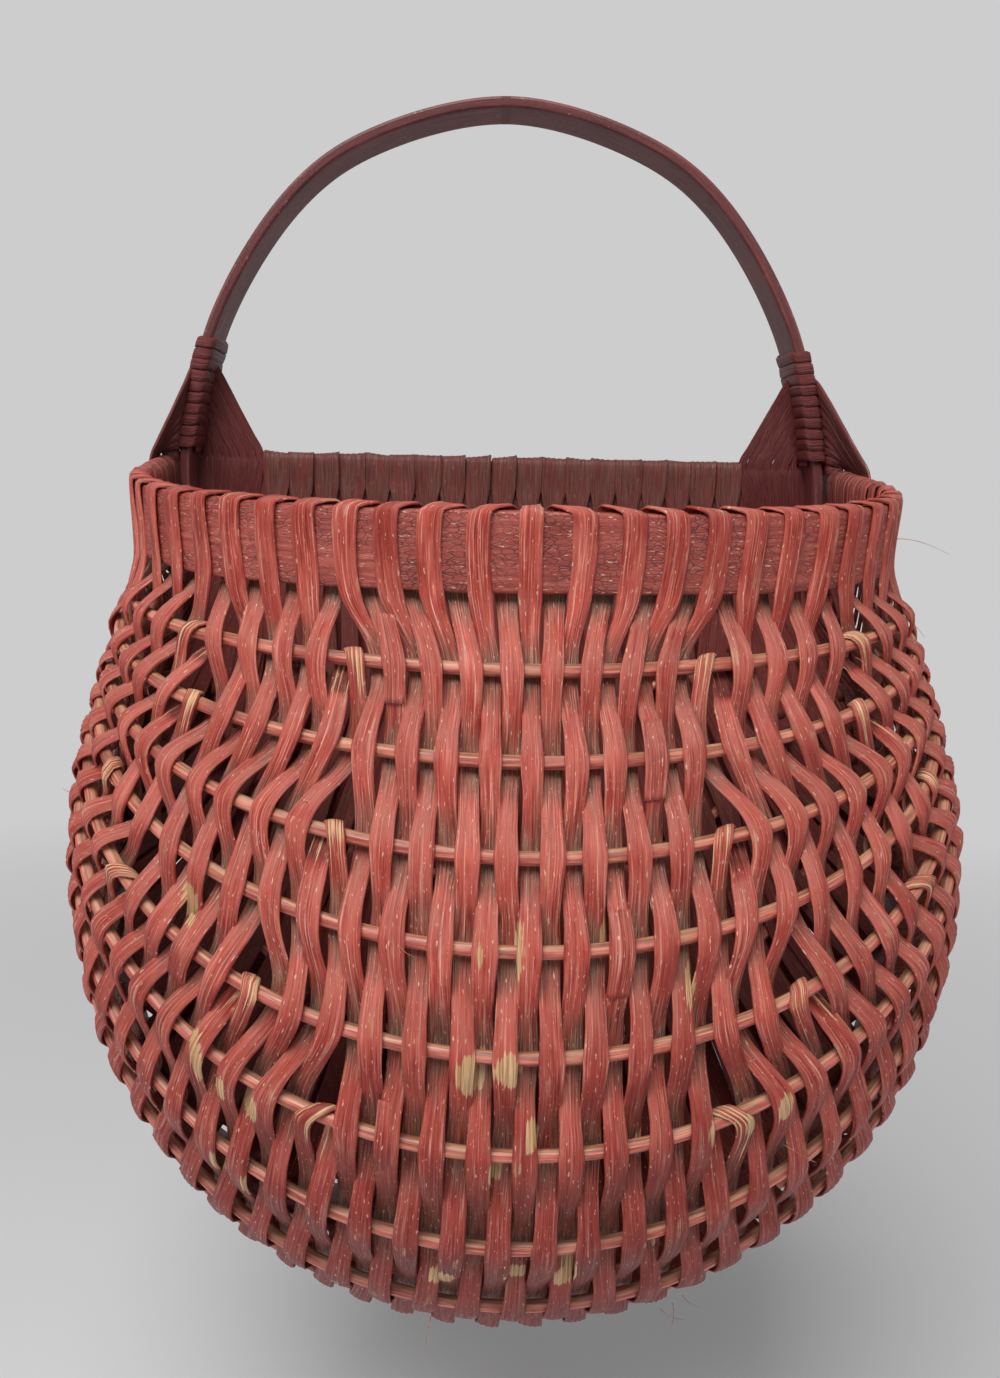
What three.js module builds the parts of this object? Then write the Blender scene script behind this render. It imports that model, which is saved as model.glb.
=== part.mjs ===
// Splint wall basket: a bent hoop that is handle and back frame in one, a D-shaped rim,
// round rod ribs from ear to ear, lashed ears, and flat splints woven over the ribs.
// Millimetres. X to the right, Y into the wall, Z up. The origin is the middle of the
// underside of the handle's crown, where the peg carries the basket.

import * as THREE from "three";

// Hoop, rim and back bar stock
const BAND_WIDTH = 24;
const BAND_THICK = 4;
const BAR_HEIGHT = 22;

// Handle and back frame, half outline of the hoop's middle line as [x, z]
const EAR_X = 121.5;
const EAR_Z = -127;
const HOOP_HALF = [
  [0, BAND_THICK / 2], [52, -11], [80, -31], [109, -76], [EAR_X, EAR_Z], [123.6, -155],
  [135, -190], [152, -236], [162, -290], [160, -345], [140, -402], [90, -440], [0, -453],
];

const RIM_EAR_CLEARANCE = 3.2;
const BAR_EAR_CLEARANCE = 0.7;

// Rim: half width, reach of its front from the wall side, and the fall of its front
const RIM_HALF = EAR_X + BAND_THICK + RIM_EAR_CLEARANCE;
const RIM_CORNER_AT = 50;
const RIM_POWER = 2.7;
const RIM_BACK_Y = 10;
const RIM_FRONT_Y = -138;
const RIM_BACK_Z = -127;
const RIM_FALL_DEG = 6.6;

// Back bar and the flat layer of weaving on the wall side
const BACK_LAYER_Y = 6.5;
const BAR_HALF = EAR_X - BAND_THICK / 2 - BAR_EAR_CLEARANCE;
const BAR_TOP_Z = -127.5;

// Front ribs, upper to lower: forward reach and height at the middle, half width of the bulge
const ROD_RADIUS = 2.1;
const FRONT_RIBS = [
  [-146, -189, 129], [-156, -213.5, 131.5], [-165, -238.5, 134.5], [-172, -263, 138],
  [-176, -292, 142], [-174, -322, 146], [-160, -360, 149.5], [-134, -397.5, 152.5],
  [-98, -427, 154.5], [-56, -445, 156],
];

// Where along its reach a rib bulges, and how square its curve is: upper rib and lower rib
const RIB_BULGE_AT = [0.3, 0.4];
const RIB_POWER = [1.9, 2];

// Back ribs, lower to upper: height at the middle, half width of the bulge
const BACK_RIBS = [[-378, 137], [-302, 115], [-226, 103]];
const BACK_RIB_POWER = 2;
const BACK_BULGE_AT = 0.28;
const BACK_SET = 7;
const BACK_SET_STEP = 14;

// The body leans a little to the right of the handle, as a hand-made one does
const SWAY = 6.4;
const SWAY_REACH = 200;

// Splints
const SPLINT_THICK = 0.9;
const SPLINT_WIDTH = 7;
const SPLINT_GAP = 1.3;
const FOLD_WIDTH = 0.7;
const ROD_CLEARANCE = 0.8;
const ROD_END_GAP = 4;
const BAND_CLEARANCE = 0.45;
const HALF_ROWS = 28;
const FILLER_END_ROW = 21;
const RIM_CENTRE_ROWS = 4;
const RIM_CENTRE_PITCH = 7.1;
const END_ROOM = 0.6;
const SIDE_SWING = 0.6;
const RIM_LEAN = 1.5;
const TAIL = 9;

// Packing: short rows that fill the bulge, as serpentines from a rib down to the hoop.
// after: the full row they follow; tops: rib each pair turns on; feet: member each link turns on
const PACKING = [
  { after: 8, tops: [6, 3, 1, 5], feet: [11, 12, 13, 12, 11] },
  { after: 15, tops: [5, 2, 1, 4], feet: [11, 12, 13, 12, 11] },
];

// Foot of a full row: rows up to the first number reach the back bar, those further out end on
// the back ribs, upper to lower
const BAR_ROWS = 18;
const BACK_RIB_ROWS = [19, 23, 28];

// Ears: lashing wound on the hoop above the rim, and triangular gussets
const LASH_LOOPS = 10;
const LASH_PITCH = 4.2;
const LASH_WIDTH = 3.3;
const LASH_THICK = 1;
const LASH_CLEARANCE = 0.4;
const LASH_TOP_Z = -82;
const LASH_CORNERS = 8;
const GUSSET_RUN = 40;
const GUSSET_DROP = 52;
const RIB_CLEARANCE = 2.3;
const SIDE_FOOT_X = 140;
const BACK_FOOT_X = 124;
const BACK_GUSSET_RUN = 24;
const BACK_GUSSET_SPREAD = 14;
const GUSSET_INSET = 0.86;
const GUSSET_THICK = 2.2;
const GUSSET_RIDGE = 0.5;
const GUSSET_STRAND = 5;
const SEAT_GAP = 0.4;
const UPPER_GUSSET_X = 115;
const UPPER_GUSSET_Z = -95;
const UPPER_GUSSET_RUN = 30;
const BACK_GUSSET_IN = 4.8;
const SIDE_GUSSET_IN = 3;
const SIDE_GUSSET_UP = 0.8;

// Mesh steps
const HOOP_FACETS = 84;
const ROD_SIDES = 6;
const ROD_STEPS = 19;
const RIM_FACETS = 44;
const HOOP_SAMPLES = 480;
const SAMPLES = 120;
const GAP_STEPS = 4;

const HALF_BAND = BAND_WIDTH / 2;
const HALF_THICK = BAND_THICK / 2;
const ROD_OFFSET = ROD_RADIUS + ROD_CLEARANCE + SPLINT_THICK / 2;
const BAND_OFFSET = HALF_THICK + BAND_CLEARANCE + SPLINT_THICK / 2;
const EDGE_CHAMFER = 0.7;
const vec = (x, y, z) => new THREE.Vector3(x, y, z);

function sway(y, z) {
  const reach = Math.hypot(Math.min(0, y), Math.max(0, EAR_Z - z));
  return SWAY * Math.sin(Math.min(1, reach / SWAY_REACH) * Math.PI / 2);
}

// A member is a line that splints cross, measured along itself from its middle.
// Rods have a round section; bands also have a face normal and an edge direction.
class Member {
  constructor(half, options = {}) {
    const left = half.slice(1).reverse().map((p) => vec(-p.x, p.y, p.z));
    this.points = [...left, ...half].map((p) => vec(p.x + sway(p.y, p.z), p.y, p.z));
    this.lengths = [0];
    for (let i = 1; i < this.points.length; i += 1) {
      this.lengths.push(this.lengths[i - 1] + this.points[i].distanceTo(this.points[i - 1]));
    }
    this.middle = this.lengths[half.length - 1];
    this.half = this.lengths[this.lengths.length - 1] - this.middle;
    const reach = this.half - ROD_END_GAP - SEAT_GAP - (options.setBack ?? 0);
    const stop = this.half - ROD_END_GAP;
    Object.assign(this, { edge: null, halfWidth: HALF_BAND, reach, stop }, options);
  }

  // point on the member; between a rod's stations it lies on the straight facet
  at(s) {
    if (this.edge || Math.abs(s) > this.stop) return this.smooth(s);
    const step = 2 * this.stop / ROD_STEPS;
    const i = Math.min(ROD_STEPS - 1, Math.floor((s + this.stop) / step));
    const from = this.smooth(i * step - this.stop);
    return from.lerp(this.smooth((i + 1) * step - this.stop), (s + this.stop) / step - i);
  }

  smooth(s) {
    const target = THREE.MathUtils.clamp(s + this.middle, 0, this.lengths[this.lengths.length - 1]);
    let low = 0;
    let high = this.lengths.length - 1;
    while (high - low > 1) {
      const mid = (low + high) >> 1;
      if (this.lengths[mid] <= target) low = mid;
      else high = mid;
    }
    const t = (target - this.lengths[low]) / (this.lengths[high] - this.lengths[low]);
    return this.points[low].clone().lerp(this.points[high], t);
  }

  // length from the middle to the first point below a height
  lengthTo(z) {
    const i = this.points.findIndex((p, k) => this.lengths[k] > this.middle && p.z < z);
    return this.lengths[i] - this.middle;
  }

  tangent(s) {
    return this.at(s + 2).sub(this.at(s - 2)).normalize();
  }

  // outward face normal of a band
  face(s) {
    return this.tangent(s).cross(this.edge).multiplyScalar(this.facing).normalize();
  }
}

// Half of a bow that leaves the ear, swells to its bulge and closes in a rounded front.
// Below the bulge it is a superellipse quarter, above it a quarter sine.
function bowHalf({ ear, front, bulge, bulgeAt, power }) {
  const origin = vec(0, ear.y, ear.z);
  const axis = vec(0, front.y, front.z).sub(origin);
  const reach = axis.length();
  axis.normalize();
  const shoulder = reach * bulgeAt;
  const half = [];
  for (let i = 0; i <= SAMPLES; i += 1) {
    const angle = (i / SAMPLES) * Math.PI / 2;
    const out = bulge * Math.sin(angle) ** (2 / power);
    const along = shoulder + (reach - shoulder) * Math.max(0, Math.cos(angle)) ** (2 / power);
    half.push(origin.clone().addScaledVector(axis, along).setX(out));
  }
  const steps = SAMPLES / 2;
  for (let i = 1; i <= steps; i += 1) {
    const along = shoulder * (1 - i / steps);
    const out = ear.x + (bulge - ear.x) * Math.sin((along / shoulder) * Math.PI / 2);
    half.push(origin.clone().addScaledVector(axis, along).setX(out));
  }
  return half;
}

// Hoop
const hoopSpline = new THREE.CatmullRomCurve3([
  ...HOOP_HALF.map(([x, z]) => vec(x, 0, z)),
  ...HOOP_HALF.slice(1, -1).reverse().map(([x, z]) => vec(-x, 0, z)),
], true, "centripetal");
const hoopLine = hoopSpline.getSpacedPoints(HOOP_SAMPLES).slice(0, HOOP_SAMPLES / 2 + 1);
const hoopLower = hoopLine.filter((p) => p.z <= EAR_Z && p.x >= 0).reverse();
hoopLower[0].x = 0;
const hoop = new Member(hoopLower, { edge: vec(0, 1, 0), facing: -1 });
hoop.reach = hoop.half - GUSSET_DROP - BAND_WIDTH;

const hoopUpper = hoopLine.filter((p) => p.x >= 0);
const handle = new Member(hoopUpper, { edge: vec(0, 1, 0), facing: 1 });
const lashTop = handle.lengthTo(LASH_TOP_Z);

// Rim
const rimFall = THREE.MathUtils.degToRad(RIM_FALL_DEG);
const rimAxis = vec(0, -Math.cos(rimFall), -Math.sin(rimFall));
const rimUp = vec(0, -Math.sin(rimFall), Math.cos(rimFall));
const rimTop = (y) => RIM_BACK_Z + (y - RIM_BACK_Y) * Math.tan(rimFall);
const rimHalf = bowHalf({
  ear: vec(RIM_HALF, RIM_BACK_Y, rimTop(RIM_BACK_Y)),
  front: vec(0, RIM_FRONT_Y, rimTop(RIM_FRONT_Y)),
  bulge: RIM_HALF, bulgeAt: RIM_CORNER_AT / (RIM_BACK_Y - RIM_FRONT_Y), power: RIM_POWER,
});
const rim = new Member(rimHalf.map((p) => p.clone().addScaledVector(rimUp, -HALF_BAND)), {
  edge: rimUp, facing: 1,
});
rim.reach = rim.half - (RIM_BACK_Y + HALF_BAND) - GUSSET_RUN;

// Front ribs leave the lower side gusset in order along its long edge
const gussetFront = -HALF_BAND - GUSSET_RUN;
const gussetLow = EAR_Z - BAND_WIDTH - GUSSET_DROP;
const topUnder = rimTop(gussetFront) - BAND_WIDTH - 2 * RIB_CLEARANCE;
const gussetTop = vec(RIM_HALF, gussetFront - RIB_CLEARANCE, topUnder);
const gussetFoot = vec(SIDE_FOOT_X, -HALF_BAND - RIB_CLEARANCE, gussetLow - 2 * RIB_CLEARANCE);
const frontRibs = FRONT_RIBS.map(([y, z, bulge], i) => {
  const t = (i + 1) / (FRONT_RIBS.length + 2);
  const lower = i / (FRONT_RIBS.length - 1);
  return new Member(bowHalf({
    ear: gussetTop.clone().lerp(gussetFoot, t),
    front: vec(0, y, z),
    bulge,
    bulgeAt: THREE.MathUtils.lerp(...RIB_BULGE_AT, lower),
    power: THREE.MathUtils.lerp(...RIB_POWER, lower),
  }));
});

// Back ribs leave the lower back gusset the same way
const backGussetTop = vec(BAR_HALF - BACK_GUSSET_RUN, BACK_LAYER_Y, BAR_TOP_Z - BAR_HEIGHT);
const backGussetFoot = vec(BACK_FOOT_X, BACK_LAYER_Y, gussetLow);
const backRibs = BACK_RIBS.map(([z, bulge], i) => {
  const t = 1 - (i + 0.8) / (BACK_RIBS.length + 0.6);
  const ear = backGussetTop.clone().lerp(backGussetFoot, t);
  return new Member(bowHalf({
    ear, front: vec(0, BACK_LAYER_Y, z),
    bulge: Math.max(bulge, ear.x), bulgeAt: BACK_BULGE_AT, power: BACK_RIB_POWER,
  }), { wallSide: true, setBack: BACK_SET + BACK_SET_STEP * i });
});

// Back bar
const barHalf = [];
for (let i = 0; i <= SAMPLES; i += 1) {
  barHalf.push(vec(BAR_HALF * i / SAMPLES, BACK_LAYER_Y, BAR_TOP_Z - BAR_HEIGHT / 2));
}
const bar = new Member(barHalf, { edge: vec(0, 0, 1), facing: -1, halfWidth: BAR_HEIGHT / 2 });
bar.reach = BAR_HALF - BACK_GUSSET_RUN - 2;

// All members in the order a splint meets them from the front rim round to the back bar
const members = [rim, ...frontRibs, hoop, ...backRibs, bar];
const HOOP_AT = FRONT_RIBS.length + 1;
const BAR_AT = members.length - 1;

// Rows: full rows and packing rows on one side, in order from the middle
function sideRows() {
  const rows = [];
  for (let m = 0; m <= HALF_ROWS; m += 1) {
    const outer = m > FILLER_END_ROW;
    const step = m <= BAR_ROWS ? -1 : BACK_RIB_ROWS.findIndex((last) => m <= last);
    rows.push({ full: m, top: 0, foot: BAR_AT - 1 - step, outer });
    for (const [block, pack] of PACKING.entries()) {
      if (pack.after !== m) continue;
      for (let r = 0; r < 2 * pack.tops.length; r += 1) {
        const top = pack.tops[Math.floor(r / 2)];
        const foot = pack.feet[Math.floor((r + 1) / 2)];
        rows.push({ block, step: r, top, foot, outer });
      }
    }
  }
  return rows;
}
const rows = sideRows();
rows.forEach((row, i) => {
  row.parity = i % 2;
});

// Each member carries its rows at an even pitch between its middle and its reach
members.forEach((member, j) => {
  let order = -1;
  member.order = new Map();
  for (const row of rows) {
    if (row.top > j || row.foot < j) continue;
    order += 1;
    member.order.set(row, order);
  }
  const centre = member === rim ? RIM_CENTRE_ROWS : 0;
  member.centreRows = centre;
  member.pitch = (member.reach - centre * RIM_CENTRE_PITCH) / (order + END_ROOM - centre);
});

// Distance of a row from the middle of a member; the rim's middle rows stand wider
function place(member, order) {
  const centre = Math.min(order, member.centreRows);
  return centre * RIM_CENTRE_PITCH + (order - centre) * member.pitch;
}

// Odd front ribs are fillers that stop short of the row where the side weave begins
const firstOuter = rows.find((row) => row.outer);
frontRibs.forEach((rib, i) => {
  if (i % 2 === 1) return;
  rib.stop = (rib.order.get(firstOuter) - END_ROOM) * rib.pitch - SEAT_GAP;
});

// Outer rows pass the line of a filler rib where the rod itself has ended
const passes = (row, j) => row.outer && j < HOOP_AT && j % 2 === 1;

// Places of a row's members in its over and under count
function counted(row) {
  let count = -1;
  return members.map((_, j) => {
    if (!passes(row, j)) count += 1;
    return count;
  });
}

function crossing(row, j, side) {
  const index = counted(row)[j];
  const member = members[j];
  const order = member.order.get(row);
  const over = passes(row, j) ? 0 : (index + row.parity) % 2 === 0 ? 1 : -1;
  const swing = member.edge ? 0 : over * SIDE_SWING * Math.min(1, order / HALF_ROWS);
  const s = side * (place(member, order) + (order === 0 ? 0 : swing));
  const width = Math.min(SPLINT_WIDTH, member.pitch - SPLINT_GAP);
  return { member, s, over, width, point: member.at(s), across: member.tangent(s) };
}

function rowCrossings(row, side) {
  const met = members.map((_, j) => j).filter((j) => j >= row.top && j <= row.foot);
  return met.map((j) => crossing(row, j, side));
}

// Section of a splint beside a band, at a distance along the band's edge direction
function beside(cross, s, normalOffset, edgeOffset) {
  const { member, width } = cross;
  const face = member.face(s);
  const p = member.at(s).addScaledVector(face, normalOffset).addScaledVector(member.edge, edgeOffset);
  return { p, across: member.tangent(s), width };
}

// Splint turned round the free edge of a band, from one face to the other
function edgeTurn(from, to) {
  const tip = from.member.halfWidth + BAND_CLEARANCE + SPLINT_THICK / 2;
  const start = from.over;
  const stations = [
    [BAND_OFFSET, tip - EDGE_CHAMFER, 0.1], [BAND_OFFSET - EDGE_CHAMFER, tip, 0.25],
    [EDGE_CHAMFER - BAND_OFFSET, tip, 0.75], [-BAND_OFFSET, tip - EDGE_CHAMFER, 0.9],
  ];
  return stations.map(([normal, edge, t]) => {
    const s = THREE.MathUtils.lerp(from.s, to.s, t);
    return beside(from, s, start * normal, edge);
  });
}

// Splint turned round a rod, from one side to the other
function rodTurn(from, to, upward) {
  const beyond = from.normal.clone().cross(from.across);
  if (beyond.dot(from.ahead) < 0 !== upward) beyond.negate();
  return [0, 1, 2, 3].map((i) => {
    const angle = i * Math.PI / 3;
    const s = THREE.MathUtils.lerp(from.s, to.s, i / 3);
    const p = from.member.at(s)
      .addScaledVector(from.normal, from.over * ROD_OFFSET * Math.cos(angle))
      .addScaledVector(beyond, ROD_OFFSET * Math.sin(angle));
    return { p, across: from.member.tangent(s), width: from.width * FOLD_WIDTH };
  });
}

const BODY_CENTRE = vec(0, -50, -290);

// Sections of one row from its top to its foot, without the turns
function rowBody(crossings) {
  const sections = [];
  crossings.forEach((cross, i) => {
    const before = crossings[Math.max(0, i - 1)].point;
    const after = crossings[Math.min(crossings.length - 1, i + 1)].point;
    const ahead = after.clone().sub(before).normalize();
    cross.ahead = ahead;
    if (cross.member.edge) {
      const lower = -cross.member.halfWidth - BAND_CLEARANCE;
      sections.push(beside(cross, cross.s, cross.over * BAND_OFFSET, lower));
      if (cross.member !== hoop || i === crossings.length - 1) return;
      if (cross.over > 0) sections.push(...edgeTurn(cross, cross));
      const level = BACK_LAYER_Y - cross.over * ROD_OFFSET;
      const inside = beside(cross, cross.s, -BAND_OFFSET, level);
      sections.push({ ...inside, width: cross.width * FOLD_WIDTH });
      return;
    }
    const normal = cross.across.clone().cross(ahead).normalize();
    const outward = cross.member.wallSide ? vec(0, 1, 0) : cross.point.clone().sub(BODY_CENTRE);
    if (normal.dot(outward) < 0) normal.negate();
    cross.normal = normal;
    const p = cross.point.clone().addScaledVector(normal, cross.over * ROD_OFFSET);
    sections.push({ p, across: cross.across, width: cross.width });
  });
  return sections;
}

// Free end of a row: over the edge of a band and a short tail on its other face, or round a rod
function tail(cross) {
  if (!cross.member.edge) return rodTurn(cross, cross, false).slice(1, 3);
  if (cross.member === hoop) return [beside(cross, cross.s, cross.over * BAND_OFFSET, 0)];
  const { halfWidth } = cross.member;
  const tip = halfWidth + BAND_CLEARANCE + SPLINT_THICK / 2;
  const stations = [[cross.over, tip], [-cross.over, tip], [-cross.over, halfWidth - TAIL]];
  return stations.map(([side, edge]) => beside(cross, cross.s, side * BAND_OFFSET, edge));
}

// A closed ribbon of rectangular section through the stations
function ribbon(sections, thick = SPLINT_THICK) {
  const rings = sections.map(({ p, across, width }, i) => {
    const into = p.clone().sub(sections[Math.max(0, i - 1)].p).normalize();
    const out = sections[Math.min(sections.length - 1, i + 1)].p.clone().sub(p).normalize();
    const up = into.add(out).cross(across).normalize();
    const corners = [[-1, -1], [1, -1], [1, 1], [-1, 1]];
    return corners.map(([a, b]) => p.clone()
      .addScaledVector(across, a * width / 2).addScaledVector(up, b * thick / 2));
  });
  return loft(rings);
}

// Turns a closed mesh right side out if its volume comes out negative
function facingOut(geometry) {
  const p = geometry.attributes.position;
  const index = geometry.index.array;
  const [a, b, c] = [vec(), vec(), vec()];
  let volume = 0;
  for (let i = 0; i < index.length; i += 3) {
    a.fromBufferAttribute(p, index[i]);
    b.fromBufferAttribute(p, index[i + 1]);
    c.fromBufferAttribute(p, index[i + 2]);
    volume += a.dot(b.cross(c));
  }
  if (volume < 0) {
    for (let i = 0; i < index.length; i += 3) {
      [index[i + 1], index[i + 2]] = [index[i + 2], index[i + 1]];
    }
  }
  geometry.computeVertexNormals();
  return geometry;
}

// One turn of weaving: two neighbouring rows joined over the front rim
function turnSections(outerRow, innerRow, side) {
  const outer = rowCrossings(outerRow, side);
  const outerBody = rowBody(outer);
  const start = [...tail(outer[outer.length - 1]).reverse(), ...outerBody.slice().reverse()];
  const lean = (cross) => ({ ...cross, s: cross.s + side * RIM_LEAN });
  if (!innerRow) return [...start, ...tail(outer[0])];
  const inner = rowCrossings(innerRow, side);
  const innerBody = rowBody(inner);
  return [...start, ...edgeTurn(lean(outer[0]), inner[0]), ...innerBody, ...tail(inner[inner.length - 1])];
}

// One serpentine of packing rows, turned on ribs above and on the hoop or back ribs below
function packingSections(block, side) {
  const own = rows.filter((row) => row.block === block);
  const crossed = own.map((row) => rowCrossings(row, side));
  const bodies = crossed.map(rowBody);
  const sections = tail(crossed[0].at(-1)).reverse();
  own.forEach((_, r) => {
    const upward = r % 2 === 0;
    const path = upward ? bodies[r].reverse() : bodies[r];
    const end = upward ? crossed[r][0] : crossed[r].at(-1);
    const start = upward ? crossed[r].at(-1) : crossed[r][0];
    if (r > 0 && !start.member.edge) path.shift();
    if (r === own.length - 1) {
      sections.push(...path, ...tail(end));
      return;
    }
    if (!end.member.edge) path.pop();
    const next = upward ? crossed[r + 1][0] : crossed[r + 1].at(-1);
    const turn = end.member.edge ? edgeTurn(end, next) : rodTurn(end, next, upward);
    sections.push(...path, ...turn);
  });
  return sections;
}

// A closed body lofted through rings of four corners
function loft(rings) {
  const index = [];
  for (let i = 1; i < rings.length; i += 1) {
    for (let k = 0; k < 4; k += 1) {
      const next = (k + 1) % 4;
      const [a, b, c, d] = [4 * (i - 1) + k, 4 * (i - 1) + next, 4 * i + next, 4 * i + k];
      index.push(a, b, c, a, c, d);
    }
  }
  const e = 4 * (rings.length - 1);
  index.push(0, 2, 1, 0, 3, 2, e, e + 1, e + 2, e, e + 2, e + 3);
  const geometry = new THREE.BufferGeometry();
  const positions = rings.flat().flatMap((p) => [p.x, p.y, p.z]);
  geometry.setAttribute("position", new THREE.Float32BufferAttribute(positions, 3));
  geometry.setIndex(index);
  return facingOut(geometry);
}

// Triangular gusset of parallel strands, narrow at its corner and ridged once a strand
function gussetGeometry(corner, leftTip, rightTip) {
  const left = corner.clone().lerp(leftTip, GUSSET_INSET);
  const right = corner.clone().lerp(rightTip, GUSSET_INSET);
  const normal = left.clone().sub(corner).cross(right.clone().sub(corner)).normalize();
  const base = right.clone().sub(left);
  const depth = base.clone().cross(corner.clone().sub(left)).length() / base.length();
  const strands = Math.round(depth / GUSSET_STRAND);
  const rings = [];
  for (let k = 1; k <= 2 * strands; k += 1) {
    const t = k / (2 * strands);
    const half = GUSSET_THICK / 2 + (k % 2 === 0 ? 0 : GUSSET_RIDGE);
    const a = corner.clone().lerp(left, t);
    const b = corner.clone().lerp(right, t);
    rings.push([
      a.clone().addScaledVector(normal, -half),
      b.clone().addScaledVector(normal, -half),
      b.clone().addScaledVector(normal, half),
      a.clone().addScaledVector(normal, half),
    ]);
  }
  return loft(rings);
}

// Lashing: one unbroken flat strand wound down the hoop from the handle to the rim
function lashingSections(side) {
  const out = HALF_THICK + LASH_CLEARANCE + LASH_THICK / 2;
  const wide = HALF_BAND + LASH_CLEARANCE + LASH_THICK / 2;
  const rear = [
    [out, wide - EDGE_CHAMFER], [out - EDGE_CHAMFER, wide],
    [EDGE_CHAMFER - out, wide], [-out, wide - EDGE_CHAMFER],
  ];
  const corners = [...rear, ...rear.map(([normal, edge]) => [-normal, -edge])];
  const sections = [];
  for (let i = 0; i <= LASH_LOOPS * LASH_CORNERS; i += 1) {
    const s = side * (lashTop + LASH_PITCH * (i / LASH_CORNERS));
    const [normal, edge] = corners[i % LASH_CORNERS];
    const p = handle.at(s).addScaledVector(handle.face(s), normal).addScaledVector(handle.edge, edge);
    sections.push({ p, across: handle.tangent(s), width: LASH_WIDTH });
  }
  return sections;
}

// Least distance between the edges of one loop of a lashing and the loops after the next corners
function leastGap(sections) {
  const edges = [];
  for (let i = 1; i < sections.length; i += 1) {
    for (let k = 0; k < GAP_STEPS; k += 1) {
      const [from, to] = [sections[i - 1], sections[i]];
      const p = from.p.clone().lerp(to.p, k / GAP_STEPS);
      const across = from.across.clone().lerp(to.across, k / GAP_STEPS);
      edges.push([-1, 1].map((a) => p.clone().addScaledVector(across, a * LASH_WIDTH / 2)));
    }
  }
  let least = Infinity;
  const apart = GAP_STEPS * (LASH_CORNERS / 2 + 1);
  edges.forEach((pair, i) => edges.slice(i + apart).forEach((other) => {
    for (const a of pair) {
      for (const b of other) least = Math.min(least, a.distanceTo(b));
    }
  }));
  return least;
}

// Round rod along a member
function rod(member) {
  const points = [];
  for (let i = 0; i <= ROD_STEPS; i += 1) {
    points.push(member.smooth(THREE.MathUtils.lerp(-member.stop, member.stop, i / ROD_STEPS)));
  }
  const path = new THREE.CatmullRomCurve3(points, false, "centripetal");
  const section = new THREE.Shape();
  for (let i = 0; i < ROD_SIDES; i += 1) {
    const angle = (i / ROD_SIDES) * 2 * Math.PI;
    const x = ROD_RADIUS * Math.cos(angle);
    const y = ROD_RADIUS * Math.sin(angle);
    if (i === 0) section.moveTo(x, y);
    else section.lineTo(x, y);
  }
  section.closePath();
  return new THREE.ExtrudeGeometry(section, { steps: ROD_STEPS, extrudePath: path });
}

// Points of a flat line pushed sideways by a distance, mitred at each point
function offsetLine(points, distance) {
  return points.map((p, i) => {
    const into = p.clone().sub(points[Math.max(0, i - 1)]).normalize();
    const out = points[Math.min(points.length - 1, i + 1)].clone().sub(p).normalize();
    const ahead = into.clone().add(out).normalize();
    const mitre = distance / ahead.dot(into.length() > 0 ? into : out);
    return new THREE.Vector2(p.x - ahead.y * mitre, p.y + ahead.x * mitre);
  });
}

function hoopGeometry() {
  const points = [];
  for (let i = 0; i < HOOP_FACETS; i += 1) {
    const p = hoopSpline.getPointAt((i + 0.5) / HOOP_FACETS);
    if (i === 0 || i === HOOP_FACETS - 1) p.z = HALF_THICK;
    points.push(new THREE.Vector2(p.x + sway(0, p.z), p.z));
  }
  const ring = [points[points.length - 1], ...points, points[0]];
  const outer = offsetLine(ring, HALF_THICK).slice(1, -1);
  const inner = offsetLine(ring, -HALF_THICK).slice(1, -1).reverse();
  const shape = new THREE.Shape(outer);
  shape.holes.push(new THREE.Path(inner));
  const geometry = new THREE.ExtrudeGeometry(shape, { depth: BAND_WIDTH, bevelEnabled: false });
  geometry.rotateX(Math.PI / 2);
  geometry.translate(0, HALF_BAND, 0);
  return geometry;
}

function rimGeometry() {
  const flat = [];
  for (let i = 0; i <= RIM_FACETS; i += 1) {
    const p = rim.at(THREE.MathUtils.lerp(-rim.half, rim.half, i / RIM_FACETS));
    flat.push(new THREE.Vector2(p.x, p.clone().sub(vec(0, RIM_BACK_Y, RIM_BACK_Z)).dot(rimAxis)));
  }
  const outline = [...offsetLine(flat, HALF_THICK), ...offsetLine(flat, -HALF_THICK).reverse()];
  const geometry = new THREE.ExtrudeGeometry(new THREE.Shape(outline), {
    depth: BAND_WIDTH, bevelEnabled: false,
  });
  const down = rimUp.clone().negate();
  const frame = new THREE.Matrix4().makeBasis(vec(1, 0, 0), rimAxis, down);
  frame.setPosition(0, RIM_BACK_Y, RIM_BACK_Z);
  geometry.applyMatrix4(frame);
  return geometry;
}

function barGeometry() {
  const geometry = new THREE.BoxGeometry(2 * BAR_HALF, BAND_THICK, BAR_HEIGHT);
  geometry.translate(0, BACK_LAYER_Y, BAR_TOP_Z - BAR_HEIGHT / 2);
  return geometry;
}

const group = new THREE.Group();

// Stains: the hoop and ears are darkest, the upper side of the ribs is worn to salmon
const STAINS = {
  maroon: { color: 0x6b2f31, roughness: 0.6 },
  band: { color: 0x96443f, roughness: 0.65 },
  rod: { color: 0xc0694f, roughness: 0.5 },
  splint: { color: 0xb4534c, roughness: 0.6 },
};

function add(name, geometry, stain) {
  const material = new THREE.MeshStandardMaterial({ ...STAINS[stain], metalness: 0 });
  const mesh = new THREE.Mesh(geometry, material);
  mesh.name = name;
  group.add(mesh);
}

add("handle_hoop", hoopGeometry(), "maroon");
add("front_rim", rimGeometry(), "band");
add("back_bar", barGeometry(), "maroon");
frontRibs.forEach((rib, i) => add(`front_rib_${i + 1}`, rod(rib), "rod"));
backRibs.forEach((rib, i) => add(`back_rib_${i + 1}`, rod(rib), "rod"));

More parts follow.
